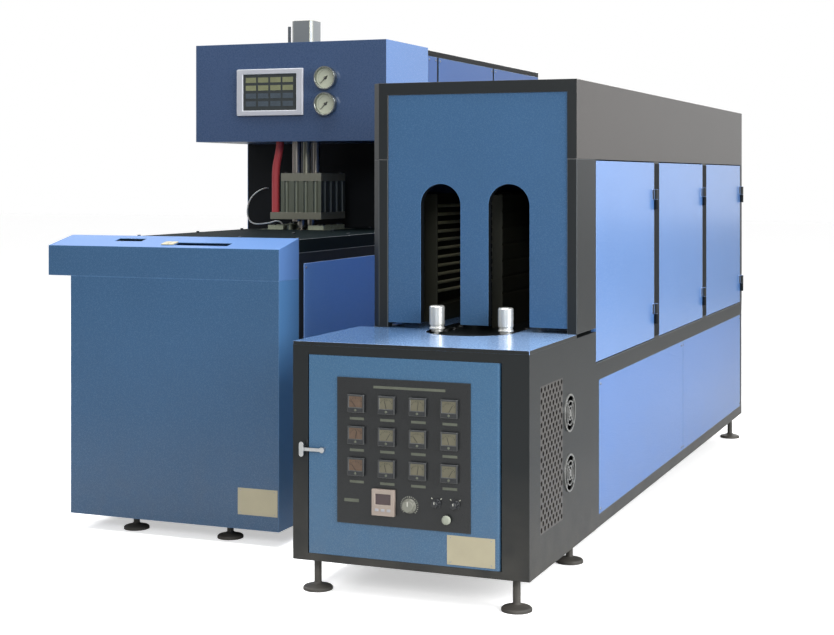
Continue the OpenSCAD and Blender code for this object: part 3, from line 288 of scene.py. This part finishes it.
def eased(node, width, *finishes, body="root", slot_name=""):
    """The CAD node's shape with its sharp edges rounded by width mm. A second finish goes on
    the rounded edges, and any further ones are for refinish()."""
    same_point, same_plane, sharp = 2e-6, math.radians(0.6), math.radians(28)
    mesh = bmesh.new()
    mesh.from_mesh(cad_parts[node].data)
    bmesh.ops.remove_doubles(mesh, verts=mesh.verts, dist=same_point)
    bmesh.ops.dissolve_limit(mesh, angle_limit=same_plane, verts=mesh.verts, edges=mesh.edges)
    bmesh.ops.bevel(
        mesh,
        geom=[e for e in mesh.edges if len(e.link_faces) == 2 and e.calc_face_angle(0) > sharp],
        offset=width / 1000,
        segments=2,
        profile=0.5,
        affect="EDGES",
        clamp_overlap=True,
        material=1 if len(finishes) > 1 else -1,
    )
    return piece(node + "_dressed", mesh, finishes, body, [node], scale=1.0)


# The paint's texture is a third of a millimetre, too fine to show, and is drawn at 1.6 mm.
sprayed = (1.6, 0.1, 0.35)
rubbed_paint = (4, 0.1, 0.1)
station_paint = surface(
    "matt_black_station_paint", "#0d1013", 0.5, grain=sprayed, soil=0.5, shine=0.12
)
frame_edge = surface("rubbed_frame_paint", "#3a3f42", 0.35, grain=rubbed_paint)
eased("blower_frame", 2.0, station_paint, frame_edge, slot_name="frame_dark")

# Front cabinet: one folded sheet box, powder coated blue, its side towards the light painted paler,
# a painted light.
# Oven-cured powder flows out to a glossy coat with a faint orange peel of about 3 mm.
orange_peel = (3, 0.05, 0.06)
rubbed_powder = (5, 0.08, 0.05)
blue_powder = surface("glossy_blue_powder_coat", "#325476", 0.26, grain=orange_peel, soil=0.25)
blue_edge = surface("rubbed_blue_powder_coat", "#4a6e96", 0.3, grain=rubbed_powder)
lit_side_powder = surface("blue_powder_coat_painted_light_side", "#426b96", 0.32, grain=orange_peel, soil=0.2)


def refinish(made, finish, facing):
    """Gives the faces that the test picks another finish of the piece, by its place in the
    list. The narrow faces of its rounded edges, under 30 square mm, keep theirs."""
    for face in made.data.polygons:
        if face.area > 3e-5 and facing(face.normal, face.center):
            face.material_index = finish


cabinet = eased("front_cabinet", 1.2, blue_powder, blue_edge, lit_side_powder, slot_name="blue_front")
# Painted light: the side that faces the lamp takes the paler copy of the blue.
refinish(cabinet, 2, lambda normal, at: normal.x > 0.5)


# Rating plates: thin aluminium sheet, brushed along its length, anodised and left bare, and
# held by four dome rivets each. The brushing shows as soft lines 0.1 mm apart.
def block(mesh, low, high, edge=0.0, finish=0):
    """A block between two corners in mm, its edges rounded by edge mm."""
    size = [h - l for l, h in zip(low, high)]
    middle = [(h + l) / 2 for l, h in zip(low, high)]
    place = Matrix.Translation(middle) @ Matrix.Diagonal((*size, 1))
    made = bmesh.ops.create_cube(mesh, matrix=place)["verts"]
    if edge:
        edges = list({e for v in made for e in v.link_edges})
        eases = {"offset": edge, "segments": 2, "profile": 0.5, "affect": "EDGES"}
        faces = bmesh.ops.bevel(mesh, geom=edges, **eases)["faces"]
        made = list({v for f in faces for v in f.verts})
    for face in {f for v in made for f in v.link_faces}:
        face.material_index = finish


AIM = {
    "+x": Matrix.Rotation(math.radians(90), 4, "Y"),
    "-x": Matrix.Rotation(math.radians(-90), 4, "Y"),
    "-y": Matrix.Rotation(math.radians(90), 4, "X"),
    "+y": Matrix.Rotation(math.radians(-90), 4, "X"),
    "+z": Matrix.Identity(4),
}


def turned(mesh, at, aim, profile, steps=24, finish=0):
    """A turned form: profile is (radius, height) in mm along aim, which is a key of AIM."""
    place = Matrix.Translation(at) @ AIM[aim]
    turns = [2 * math.pi * k / steps for k in range(steps)]
    rings = []
    for radius, height in profile:
        ring = [(radius * math.cos(a), radius * math.sin(a)) for a in turns] if radius else [(0, 0)]
        rings.append([mesh.verts.new(place @ Vector((x, y, height))) for x, y in ring])
    faces = []
    for low, high in zip(rings, rings[1:]):
        for k in range(steps):
            j = (k + 1) % steps
            loop = [low[k % len(low)], low[j % len(low)], high[j % len(high)], high[k % len(high)]]
            unique = [v for i, v in enumerate(loop) if v not in loop[:i]]
            if len(unique) > 2:
                faces.append(mesh.faces.new(unique))
    for ring in (rings[0], rings[-1]):
        if len(ring) > 2:
            faces.append(mesh.faces.new(ring))
    for face in faces:
        face.material_index = finish


plate_alu = surface(
    "anodised_aluminium_plate",
    "#a9a28a",
    0.38,
    metal=0.15,
    drift=(60, 0.1),
    grain=(0.8, 0.1, 0.1),
    lay=(1, 1, 8),
)
rivet_steel = surface("domed_steel_rivet", "#a9abad", 0.3, metal=1.0)
dome_rivet = [(2.6, -0.2), (2.4, 0.2), (1.4, 0.6), (0, 0.7)]


def rating_plate(name, x0, x1, front, z0, z1, body):
    """A plate on a face that looks to the front, its rivets near the corners."""
    skin = front - 0.6
    mesh = bmesh.new()
    block(mesh, (x0, skin, z0), (x1, front + 0.2, z1), 0.2)
    for x in (x0 + 12, x1 - 12):
        for z in (z0 + 8, z1 - 8):
            turned(mesh, (x, skin, z), "-y", dome_rivet, 12, 1)
    piece(name, mesh, [plate_alu, rivet_steel], body)


rating_plate("rating_plate_cabinet", -232, -72, -1288, 108, 204, "root")

# Table hood: folded sheet with a front lip and a sloped face, two long slots for the air that rises
# from the clamp. Blue powder, its top and right side painted paler, a painted light.
lit_top_powder = surface(
    "blue_powder_coat_painted_light_top", "#5072a4", 0.34, grain=orange_peel, shine=0.35
)
table = eased("table_top", 1.2, blue_powder, blue_edge, lit_top_powder, slot_name="blue_light")
# Painted light: faces that look up or to the right take the paler blue.
refinish(table, 2, lambda normal, at: normal.z > 0.5 or normal.x > 0.5)
slope = math.atan2(34, 160)
slope_middle = (-546, -1236, 1076.6)
mesh = bmesh.new()
for x in (-26, 1):
    block(mesh, (x, -22, -0.3), (x + 25, 22, 3.0), 1.0)
onto_slope = Matrix.Translation(slope_middle) @ Matrix.Rotation(slope, 4, "X")
bmesh.ops.transform(mesh, matrix=onto_slope, verts=mesh.verts)
piece("table_marker_plate", mesh, [plate_alu], "root")

# Bed plate: 50 mm steel plate, milled and then blackened hot, so nearly black and dull, with
# tool lines 2 mm apart. Held to the frame by socket-head screws.
black_steel = surface(
    "blackened_milled_steel", "#0d1416", 0.6, grain=(2, 0.1, 0.12), lay=(8, 1, 1), shine=0.02
)
screw_steel = surface("black_oxide_screw_steel", "#3a3d40", 0.35, metal=1.0, grain=(1, 0.1, 0.05))
eased("bed_plate", 1.5, black_steel, frame_edge, slot_name="bed_steel")
socket_head = [(6.5, -0.3), (6.5, 5.2), (5.8, 6), (3.2, 6), (3.0, 3), (0, 3)]


def screws(name, places, aim, body, head=socket_head, finish=screw_steel):
    """A row of like screws, one object."""
    mesh = bmesh.new()
    for place in places:
        turned(mesh, place, aim, head, 16)
    piece(name, mesh, [finish], body)


bed_top = 1095
bed_places = [(x, y, bed_top) for x in (-770, -330, -90) for y in (-1090, -640, -260, 130)]
screws("bed_screws", bed_places, "+z", "root")

# Side panels of base and tower: 3 mm sheet trays with a 22 mm fold, powder coated light blue, paler
# than the fronts in part by painted light from the side, and the tower's painted darker, a painted
# shade of the oven. Held at their corners by button-head screws.
# Partly painted light: this blue is paler than the fronts' partly for the light from the side.
light_blue_painted_sidelight_powder = surface(
    "light_blue_powder_coat_partly_painted_light",
    "#587fb9",
    0.24,
    grain=orange_peel,
    soil=0.2,
    coat=0.1,
    shine=0.4,
)
light_edge = surface("rubbed_light_blue_powder_coat", "#8aa9dc", 0.3, grain=rubbed_powder)
# Painted shade: a darker copy of the light blue for the tower's panels.
painted_shade_powder = surface(
    "blue_powder_coat_painted_shade_tower", "#2c5592", 0.34, grain=orange_peel, soil=0.2, shine=0.3
)
zinc_screw = surface("zinc_plated_screw_steel", "#8d9094", 0.35, metal=1.0, grain=(1, 0.1, 0.05))
eased("base_side_panels", 1.2, light_blue_painted_sidelight_powder, light_edge, slot_name="blue_light")
eased("tower_panels", 1.2, painted_shade_powder, blue_edge, slot_name="blue_light")
button_head = [(5.2, -0.2), (5.0, 1.0), (3.8, 2.2), (2.2, 2.6), (2.0, 1.4), (0, 1.4)]


def corners(x, spans, heights):
    """Screw places 16 mm in from the corners of the panels on a side face."""
    inset = 16
    return [
        (x, y, z)
        for near, far in spans
        for y in (near + inset, far - inset)
        for low, high in heights
        for z in (low + inset, high - inset)
    ]


def panel_screws(name, places, aim):
    """The screws of the light blue panels."""
    screws(name, places, aim, "root", button_head, zinc_screw)


tower_bays = [(177, 289), (313, 1058), (1082, 1812)]
tower_heights = [(55, 1063), (1067, 1863)]
tower_rear = 1811.6
rear_places = [(x, tower_rear, z) for x in (-917, -130) for z in (111, 1029, 1101, 1807)]
panel_screws("tower_screws_right", corners(-71, tower_bays, tower_heights), "+x")
panel_screws("tower_screws_left", corners(-976, tower_bays, tower_heights), "-x")
panel_screws("tower_screws_rear", rear_places, "+y")
panel_screws("base_screws_right", corners(-66, [(-1084, 173)], [(95, 1005)]), "+x")

# Header: folded sheet housing for the head's cylinder, bolted to the tower. The front is painted a
# darker blue than the other fronts, a painted shade, and the sides are painted light blue, a
# painted light from the side.
painted_shade_header_powder = surface("blue_powder_coat_painted_shade_header", "#2f4260", 0.28, grain=orange_peel)
header = eased("header_shell", 1.2, painted_shade_header_powder, blue_edge, light_blue_painted_sidelight_powder, slot_name="blue_front")
# Painted light: the header's sides take the paler side blue.
refinish(header, 2, lambda normal, at: abs(normal.x) > 0.5)

# Touch screen: moulded light grey ABS frame round a dark display film. The film shows a page
# of plain grey and olive keys, drawn as thin raised fields.
screen_abs = surface("moulded_grey_abs", "#9a9ca3", 0.42, grain=(0.9, 0.08, 0.15))
screen_edge = surface("moulded_grey_abs_edge", "#b4b7bd", 0.35, grain=(2, 0.05, 0.05))
display_film = surface(
    "dark_display_film", "#23292b", 0.16, drift=(90, 0.25), grain=(6, 0.03, 0.02), coat=0.6
)
lit_film = {"drift": (40, 0.25), "grain": (3, 0.04, 0.02)}
key_olive = surface("display_field_olive", "#6a6d52", 0.25, **lit_film)
key_grey = surface("display_field_grey", "#39424a", 0.25, **lit_film)
eased("screen_bezel", 3.0, screen_abs, screen_edge, slot_name="screen_frame")
eased("screen_glass", 0.4, display_film, slot_name="screen_glass")


def box_mm(node):
    """A CAD node's lowest and highest corners at rest, in mm."""
    return [corner * 1000 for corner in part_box(node)]


low, high = box_mm("screen_glass")
key_width, key_height = 50, 22
mesh = bmesh.new()
for row in range(4):
    for column in range(4):
        x = low.x + 12 + column * 59
        z = high.z - 14 - row * 34
        front, back = low.y - 0.5, low.y + 0.2
        block(mesh, (x, front, z - key_height), (x + key_width, back, z), 0, int(row > 1))
piece("screen_fields", mesh, [key_olive, key_grey], "root")

# Pressure gauges: polished steel cases with white enamelled dials, a printed ring of ticks
# and black needles on a brass post.
case_steel = surface("polished_steel_case", "#a2a6a2", 0.2, metal=1.0, grain=(4, 0.05, 0.03))
dial_white = surface("white_enamelled_dial", "#a3a796", 0.35, drift=(50, 0.05))
tick_black = surface("printed_black_tick", "#1b1b1b", 0.5)
needle_black = surface("stamped_black_needle", "#181818", 0.45)
eased("gauge_cases", 1.0, case_steel, slot_name="gauge")


def turned_mark(mesh, centre, degrees, low, high, finish=0):
    """A flat mark between two corners, turned about a dial's centre, given as x and z in mm."""
    start = len(mesh.verts)
    block(mesh, low, high, 0, finish)
    turn = Matrix.Rotation(math.radians(degrees), 4, "Y")
    spin = Matrix.Translation((centre[0], 0, centre[1])) @ turn
    bmesh.ops.transform(mesh, matrix=spin, verts=list(mesh.verts)[start:])


low, high = box_mm("gauge_cases")
gauge_x = (low.x + high.x) / 2
case_radius = 49
dial_floor = -312.1
dial_disc = [(3, -0.2), (42.2, -0.2), (42.2, 0.6), (3, 0.6)]
mesh = bmesh.new()
for gauge_z in (low.z + case_radius, high.z - case_radius):
    turned(mesh, (gauge_x, dial_floor, gauge_z), "-y", dial_disc, 48)
    for k in range(28):
        long = 7 if k % 9 == 0 else 4
        tick = (36 - long, -312.95, -0.5), (37, -312.6, 0.5)
        turned_mark(mesh, (gauge_x, gauge_z), -225 + 270 * k / 27, *tick, 1)
piece("gauge_dials", mesh, [dial_white, tick_black], "root")
eased("gauge_needle_upper", 0.2, needle_black, body="gauge_needle_up", slot_name="black_part")
eased("gauge_needle_lower", 0.2, needle_black, body="gauge_needle_low", slot_name="black_part")

# Blow head: milled aluminium plates round an extruded, fluted block, guided by two hard chromed
# rods. Milled faces have a soft satin sheen and tool lines, drawn coarser than the real ones to
# show. The block's flutes towards the oven are painted dark, a painted shade.
chromed_rod = surface(
    "hard_chromed_ground_rod", "#8f8b86", 0.26, metal=1.0, grain=(1, 0.06, 0.04), lay=(1, 1, 6)
)
milled_alu = surface(
    "milled_aluminium",
    "#8f8f82",
    0.38,
    metal=0.8,
    drift=(120, 0.08),
    grain=(1, 0.1, 0.1),
    lay=(1, 8, 1),
)
alu_edge = surface("chamfered_aluminium", "#a5a698", 0.34, metal=0.9)
drawn = {"grain": (1.5, 0.08, 0.12), "lay": (6, 6, 1)}
extruded_alu = surface("extruded_aluminium", "#6f7468", 0.42, metal=0.8, drift=(90, 0.1), **drawn)
shaded_side_alu = surface(
    "aluminium_painted_shade_side", "#3a3f40", 0.5, metal=0.6, drift=(90, 0.15), shine=0.2, **drawn
)
eased("guide_rods", 0.8, chromed_rod, slot_name="ground_steel")
eased("head_top_plate", 1.5, milled_alu, alu_edge, body="blow_head", slot_name="head_alu")
head = eased(
    "head_block", 0.8, extruded_alu, alu_edge, shaded_side_alu, body="blow_head", slot_name="head_alu"
)
near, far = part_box("head_block")
flutes = far.x - 0.012
front_face = near.y + 0.001
# Painted shade: the flutes on the oven side take the dark copy of the aluminium.
refinish(head, 2, lambda normal, at: at.x > flutes and at.y > front_face)
eased("head_bottom_plate", 1.5, milled_alu, alu_edge, body="blow_head", slot_name="head_alu")
eased("blow_nozzles", 0.8, chromed_rod, body="blow_head", slot_name="head_alu")
plate_top = 1340
head_places = [(x, y, plate_top) for x in (-598, -437) for y in (-177, 41)]
screws("head_screws", head_places, "+z", "blow_head")

# Lift cylinder and stretch drive: anodised aluminium barrel and cap, a grey carriage that
# rides on the barrel and two thin chromed stretch rods.
anodised = surface(
    "anodised_aluminium_tube", "#909598", 0.32, metal=0.8, grain=(1.2, 0.06, 0.06), lay=(6, 6, 1)
)
grey_steel = surface(
    "grey_painted_steel_plate", "#454b51", 0.4, drift=(80, 0.08), grain=(2, 0.08, 0.15)
)
grey_edge = surface("machined_steel_edge", "#7d8286", 0.35, metal=0.7)
eased("lift_cylinder", 1.5, anodised, alu_edge, slot_name="cylinder")
eased("stretch_carriage", 1.2, grey_steel, grey_edge, body="stretch_unit", slot_name="platen_steel")
eased("stretch_rods", 0.4, chromed_rod, body="stretch_unit", slot_name="ground_steel")

# Clamp: ground steel tie bars between two thick end plates, cylinders outside, and platens
# that slide on the bars with the mould halves bolted on. Ground neck plates top the halves.
eased("clamp_end_plates", 2.0, grey_steel, grey_edge, slot_name="platen_steel")
eased("tie_bars", 1.5, chromed_rod, slot_name="ground_steel")
eased("clamp_cylinders", 1.5, anodised, alu_edge, slot_name="cylinder")
eased("platen_left", 1.5, grey_steel, grey_edge, body="clamp_left", slot_name="platen_steel")
eased("platen_right", 1.5, grey_steel, grey_edge, body="clamp_right", slot_name="platen_steel")
ground_flat = {"grain": (1, 0.08, 0.08), "lay": (1, 6, 1)}
mould_metal = surface(
    "polished_mould_aluminium", "#8d9382", 0.3, metal=0.85, drift=(70, 0.1), **ground_flat
)
neck_alu = surface("ground_aluminium", "#b4bba6", 0.3, metal=0.7, drift=(70, 0.08), **ground_flat)
neck_seam = 1.096
for side, name in ((-1, "left"), (1, "right")):
    body = "clamp_" + name
    mould = eased(
        "mould_" + name, 1.0, mould_metal, alu_edge, neck_alu, body=body, slot_name="mould_alu"
    )
    refinish(mould, 2, lambda normal, at: at.z > neck_seam)
    low, high = box_mm("mould_" + name)
    parting = high.x if side < 0 else low.x
    rows = (low.y + 34, high.y - 34)
    places = [(parting + side * x, y, high.z) for x in (48, 64) for y in rows]
    screws("mould_screws_" + name, places, "+z", body)

# Oven housing: dark textured tube frame and front posts, a grey textured hood with dust on its top,
# its front and lip underside painted as dark as the frame, a painted shade, and a blue front panel
# whose two arched slots are flanged inward, the flanges painted black, a painted shade inside the
# slots.
frame_paint = surface(
    "textured_grey_frame_paint", "#15191b", 0.42, grain=sprayed, soil=0.4, shine=0.35
)
hood_paint = surface("textured_grey_hood_paint", "#353230", 0.36, grain=sprayed, soil=0.4)
hood_edge = surface("rubbed_hood_paint", "#65625f", 0.35, grain=rubbed_paint)
dusty_paint = surface(
    "dusty_hood_top_paint", "#3b3835", 0.62, drift=(180, 0.12), grain=(1.6, 0.08, 0.35), shine=0.12
)
low_powder = surface(
    "dusty_light_blue_powder_coat", "#4c73b0", 0.28, grain=orange_peel, soil=0.3, shine=0.3
)
eased("oven_frame", 2.0, frame_paint, frame_edge, slot_name="frame_dark")
panel = eased(
    "oven_front_panel", 1.0, blue_powder, blue_edge, station_paint, slot_name="blue_front"
)
sheet_back = -1.264
# Painted shade: every face behind the front sheet, the slots' flanges, is painted black.
refinish(panel, 2, lambda normal, at: at.y > sheet_back)
hood = eased(
    "oven_hood", 1.2, hood_paint, hood_edge, frame_paint, dusty_paint, slot_name="hood_grey"
)
lip = 1.387
# Painted shade: the hood's front faces and the faces under its lip take the dark frame paint.
refinish(hood, 2, lambda normal, at: normal.y < -0.5 or (at.z < lip and normal.z < -0.2))
refinish(hood, 3, lambda normal, at: normal.z > 0.9)
eased("oven_panels", 1.2, low_powder, blue_edge, slot_name="blue_light")
oven_bays = [(-990, 357), (361, 1748)]
oven_heights = [(150, 618)]
panel_screws("oven_screws_right", corners(1029, oven_bays, oven_heights), "+x")
panel_screws("oven_screws_left", corners(285, oven_bays, oven_heights), "-x")

# Side doors: 20 mm sheet trays, light blue powder, paler in part by painted light from the side, on
# lift-off hinges. The 16 mm knuckles are welded on outside the sheet and painted as dark as the
# frame.
door_names = ("front", "middle", "rear")
sheet_front = 1.0295
for name in door_names:
    door = eased(
        "oven_door_" + name,
        1.0,
        light_blue_painted_sidelight_powder,
        light_edge,
        frame_paint,
        body="door_" + name,
        slot_name="blue_light",
    )
    refinish(door, 2, lambda normal, at: at.x > sheet_front)
eased("oven_hinges", 0.6, station_paint, frame_edge, slot_name="frame_dark")

# Door gap strips: flat black strips on the posts between the doors, a painted shade for the dark
# gaps there. Given a dull, open skin, so nearly black.
gap_shade_black = surface(
    "black_painted_gap_shade", "#101418", 0.7, drift=(40, 0.2), grain=(1.2, 0.1, 0.3), shine=0.15
)
doors = [box_mm("oven_door_" + name) for name in door_names]
mesh = bmesh.new()
for (_, last), (first, _) in zip(doors, doors[1:]):
    block(mesh, (1028.8, last.y + 1, last.z - 690), (1029.8, first.y - 1, last.z - 4), 0.3)
piece("door_gap_painted_shade", mesh, [gap_shade_black], "root")

# Shelf and deck: sheet over the cabinet with the groove the spindles run in. High-gloss enamel that
# mirrors what stands on it, painted darker towards its left, a painted shade.
shelf_enamel = surface("high_gloss_blue_enamel", "#7a97be", 0.24, grain=(4, 0.06, 0.03), coat=0.25)


def painted_shade_over(finish, whole, gone, colour):
    """Painted shade over a finish: a colour mixed in fully at one x and fading out by another, in
    metres.
    """
    tree = finish.node_tree
    skin = tree.nodes["Principled BSDF"].inputs["Base Color"]
    place = add(tree, "ShaderNodeTexCoord").outputs["Object"]
    across = add(tree, "ShaderNodeSeparateXYZ", links={"Vector": place}).outputs["X"]
    thinning = {"From Min": whole, "From Max": gone, "To Min": 1.0, "To Max": 0.0}
    much = add(tree, "ShaderNodeMapRange", thinning, {"Value": across}).outputs["Result"]
    over = {"Factor": much, "A": skin.links[0].from_socket}
    mixed = add(tree, "ShaderNodeMix", {"B": linear(colour)}, over, data_type="RGBA")
    tree.links.new(mixed.outputs["Result"], skin)


# Painted shade: the deck's left part is darkened, its right left pale.
painted_shade_over(shelf_enamel, 0.46, 0.66, "#4a678c")
deck = eased("shelf_deck", 1.0, shelf_enamel, light_edge, frame_paint, slot_name="blue_light")
refinish(deck, 2, lambda normal, at: abs(normal.z) < 0.5)
eased("chain_bed", 1.5, frame_paint, slot_name="frame_dark")


# Chain: flat steel link plates on round pins, riveted and oiled, so dark with a soft shine. The
# spindles are turned and ground bright.
def repaint(node, finish):
    """Gives a CAD node that keeps its own shape its finish."""
    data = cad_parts[node].data
    data.materials.clear()
    data.materials.append(finish)
    return data


oiled_steel = surface(
    "oiled_chain_steel", "#5a5c5c", 0.35, metal=0.9, drift=(40, 0.2), grain=(3, 0.12, 0.1)
)
turned_steel = surface(
    "turned_bright_steel", "#d5d6d2", 0.34, metal=0.75, grain=(0.8, 0.08, 0.06), lay=(1, 1, 10)
)
repaint("chain", oiled_steel)
eased("spindle_left", 0.6, turned_steel, body="spindle_l", slot_name="ground_steel")
eased("spindle_right", 0.6, turned_steel, body="spindle_r", slot_name="ground_steel")

# Heating: reflector boxes of aluminium sheet with rows of quartz lamps, and a ribbed
# reflector down the middle. Years of heat and fumes have browned them to nearly black.
brown_sheet = surface(
    "heat_browned_aluminium_sheet",
    "#34342b",
    0.5,
    metal=0.3,
    drift=(120, 0.25),
    grain=(2, 0.08, 0.06),
    shine=0.3,
)
quartz = surface("smoked_quartz_tube", "#8a8870", 0.35, drift=(60, 0.2), grain=(4, 0.05, 0.02))
eased("lamp_banks", 1.2, brown_sheet, slot_name="reflector")
tubes = repaint("lamp_tubes", quartz)
tubes.shade_smooth()
tubes.set_sharp_from_angle(angle=math.radians(40))
eased("centre_reflector", 1.0, brown_sheet, slot_name="reflector")

# Control cabinet: textured dark sheet cabinet with a blue door on pins at its right edge, a
# rating plate low on the door and a chromed die-cast lever.
door_powder = surface("glossy_mid_blue_powder_coat", "#395e7e", 0.26, grain=orange_peel, soil=0.25)
die_cast = surface("chromed_zinc_die_casting", "#c4c7ca", 0.18, metal=1.0, grain=(5, 0.04, 0.03))
eased("control_cabinet", 1.2, frame_paint, frame_edge, slot_name="frame_dark")
eased("control_door", 1.5, door_powder, blue_edge, body="panel_door", slot_name="blue_front")
rating_plate("rating_plate_door", 764, 920, -1787, 136, 226, "panel_door")
eased("door_latch", 1.5, die_cast, body="latch", slot_name="ground_steel")

# Instrument panel: black engraving laminate with twelve square meters in moulded black
# cases. Their scales are pale card, browned by the heat in the first column.
laminate = surface("black_engraving_laminate", "#1d1f21", 0.32, grain=(1.2, 0.06, 0.12))
meter_black = surface("moulded_black_phenolic", "#26282b", 0.38, grain=(1, 0.06, 0.1))
meter_edge = surface("moulded_black_phenolic_edge", "#4a4c4c", 0.35)
card_pale = surface("printed_scale_card", "#615e4e", 0.5, drift=(30, 0.2))
card_brown = surface("browned_scale_card", "#5b493b", 0.5, drift=(30, 0.25))
label_pale = surface("engraved_pale_label", "#565a4f", 0.5, drift=(25, 0.25))
eased("control_fascia", 0.8, laminate, meter_edge, body="panel_door", slot_name="black_part")
eased("panel_meters", 1.5, meter_black, meter_edge, body="panel_door", slot_name="black_part")
PALE, BROWN, LABEL, TICK = range(4)


def label(mesh, x0, x1, z0, z1):
    """A blank pale strip on the fascia."""
    block(mesh, (x0, -1791.6, z0), (x1, -1790.8, z1), 0, LABEL)


zero_screw = [(4, 0), (4, 1.2), (3, 1.8), (0, 1.8)]
mesh = bmesh.new()
for column in range(4):
    for row in range(3):
        x, z = 463 + column * 104, 614 - row * 99
        card = PALE if column else BROWN
        block(mesh, (x - 22.6, -1800.5, z - 11.6), (x + 22.6, -1799.8, z + 22.6), 0, card)
        for k in range(9):
            tick = (-0.6, -1800.9, 24 if k % 4 else 22), (0.6, -1800.4, 27)
            turned_mark(mesh, (x, z - 8), -50 + 12.5 * k, *tick, TICK)
        reading = -38 + 23 * ((row * 2 + column) % 4)
        needle = (-0.7, -1801.2, 0), (0.7, -1800.8, 24)
        turned_mark(mesh, (x, z - 10), reading, *needle, TICK)
        turned(mesh, (x, -1802.8, z - 20), "-y", zero_screw, 16, LABEL)
        label(mesh, x - 24, x + 24, z - 52, z - 44)
label(mesh, 520, 760, 664, 672)
label(mesh, 420, 470, 304, 314)
scale_finishes = [card_pale, card_brown, label_pale, tick_black]
piece("meter_scales", mesh, scale_finishes, "panel_door")

# Temperature controller: moulded cream ABS case with a dark smoked window and three grey keys
# below it, clipped into the fascia. Satin, with a faint moulded texture.
cream_abs = surface("moulded_cream_abs", "#978b82", 0.36, grain=(1, 0.06, 0.1))
window_red = surface("smoked_display_window", "#3c2c30", 0.14, coat=0.5)
eased("temperature_controller", 2.0, cream_abs, body="panel_door", slot_name="cream")
mesh = bmesh.new()
block(mesh, (531.6, -1802.7, 304.6), (582.4, -1801.8, 339.4), 0.3)
piece("controller_window", mesh, [window_red], "panel_door")
mesh = bmesh.new()
for x in (537, 557, 577):
    block(mesh, (x - 6, -1806.4, 284), (x + 6, -1804.8, 292), 0.8)
piece("controller_keys", mesh, [screen_abs], "panel_door")

# Dial and knobs: moulded phenolic on steel shafts, with a printed scale on the fascia round
# each. Their white index lines are filled grooves.
scale_white = surface("printed_scale_ring", "#b9bbae", 0.45, drift=(20, 0.1))
button_abs = surface("moulded_pale_grey_abs", "#92978a", 0.34, grain=(1, 0.06, 0.08))
dial_grey = surface("moulded_grey_phenolic", "#77786f", 0.36, grain=(1, 0.06, 0.08))
index_white = surface("white_filled_index", "#d8d8d0", 0.5)
dial_at, left_knob_at, right_knob_at = (641, 306), (731, 320), (793, 320)
ink_front, ink_back = -1791.5, -1790.9
mesh = bmesh.new()
for k in range(21):
    tick = (-0.7, ink_front, 26 if k % 5 else 25), (0.7, ink_back, 30)
    turned_mark(mesh, dial_at, -135 + 13.5 * k, *tick)
for knob_at in (left_knob_at, right_knob_at):
    for degrees in (-45, 45):
        turned_mark(mesh, knob_at, degrees, (-1.2, ink_front, 19), (1.2, ink_back, 24))
piece("dial_marks", mesh, [scale_white], "panel_door")
eased("round_dial", 0.6, dial_grey, body="dial", slot_name="cream")
eased("selector_left", 0.6, meter_black, body="knob_left", slot_name="black_part")
eased("selector_right", 0.6, meter_black, body="knob_right", slot_name="black_part")
eased("push_button", 0.6, button_abs, body="button", slot_name="cream")
for name, (x, z), front, reach, body in (
    ("dial_index", dial_at, -1809, 15, "dial"),
    ("selector_left_index", left_knob_at, -1813, 8, "knob_left"),
    ("selector_right_index", right_knob_at, -1813, 8, "knob_right"),
):
    mesh = bmesh.new()
    block(mesh, (x - 1, front - 0.1, z + 1), (x + 1, front + 0.6, z + reach))
    piece(name, mesh, [index_white], body)

# Vents: a perforated plate in the hood's grey paint, and two moulded fans behind bright
# die-cast aluminium guards, screwed to the cabinet's side.
guard_alu = surface("bright_die_cast_guard", "#8f908e", 0.36, metal=0.8, grain=(2, 0.08, 0.1))
repaint("side_grille", hood_paint)
repaint("fan_frames", guard_alu)
eased("fan_rotor_upper", 0.4, meter_black, body="fan_up", slot_name="black_part")
eased("fan_rotor_lower", 0.4, meter_black, body="fan_low", slot_name="black_part")

# Feet: moulded black rubber pads on threaded steel stems, screwed into the frames. Dusty from
# the floor.
pad_rubber = surface(
    "moulded_black_rubber", "#1c1d1e", 0.6, drift=(60, 0.15), grain=(1.5, 0.1, 0.2), soil=0.6
)
eased("levelling_feet", 1.0, pad_rubber, slot_name="rubber_foot")
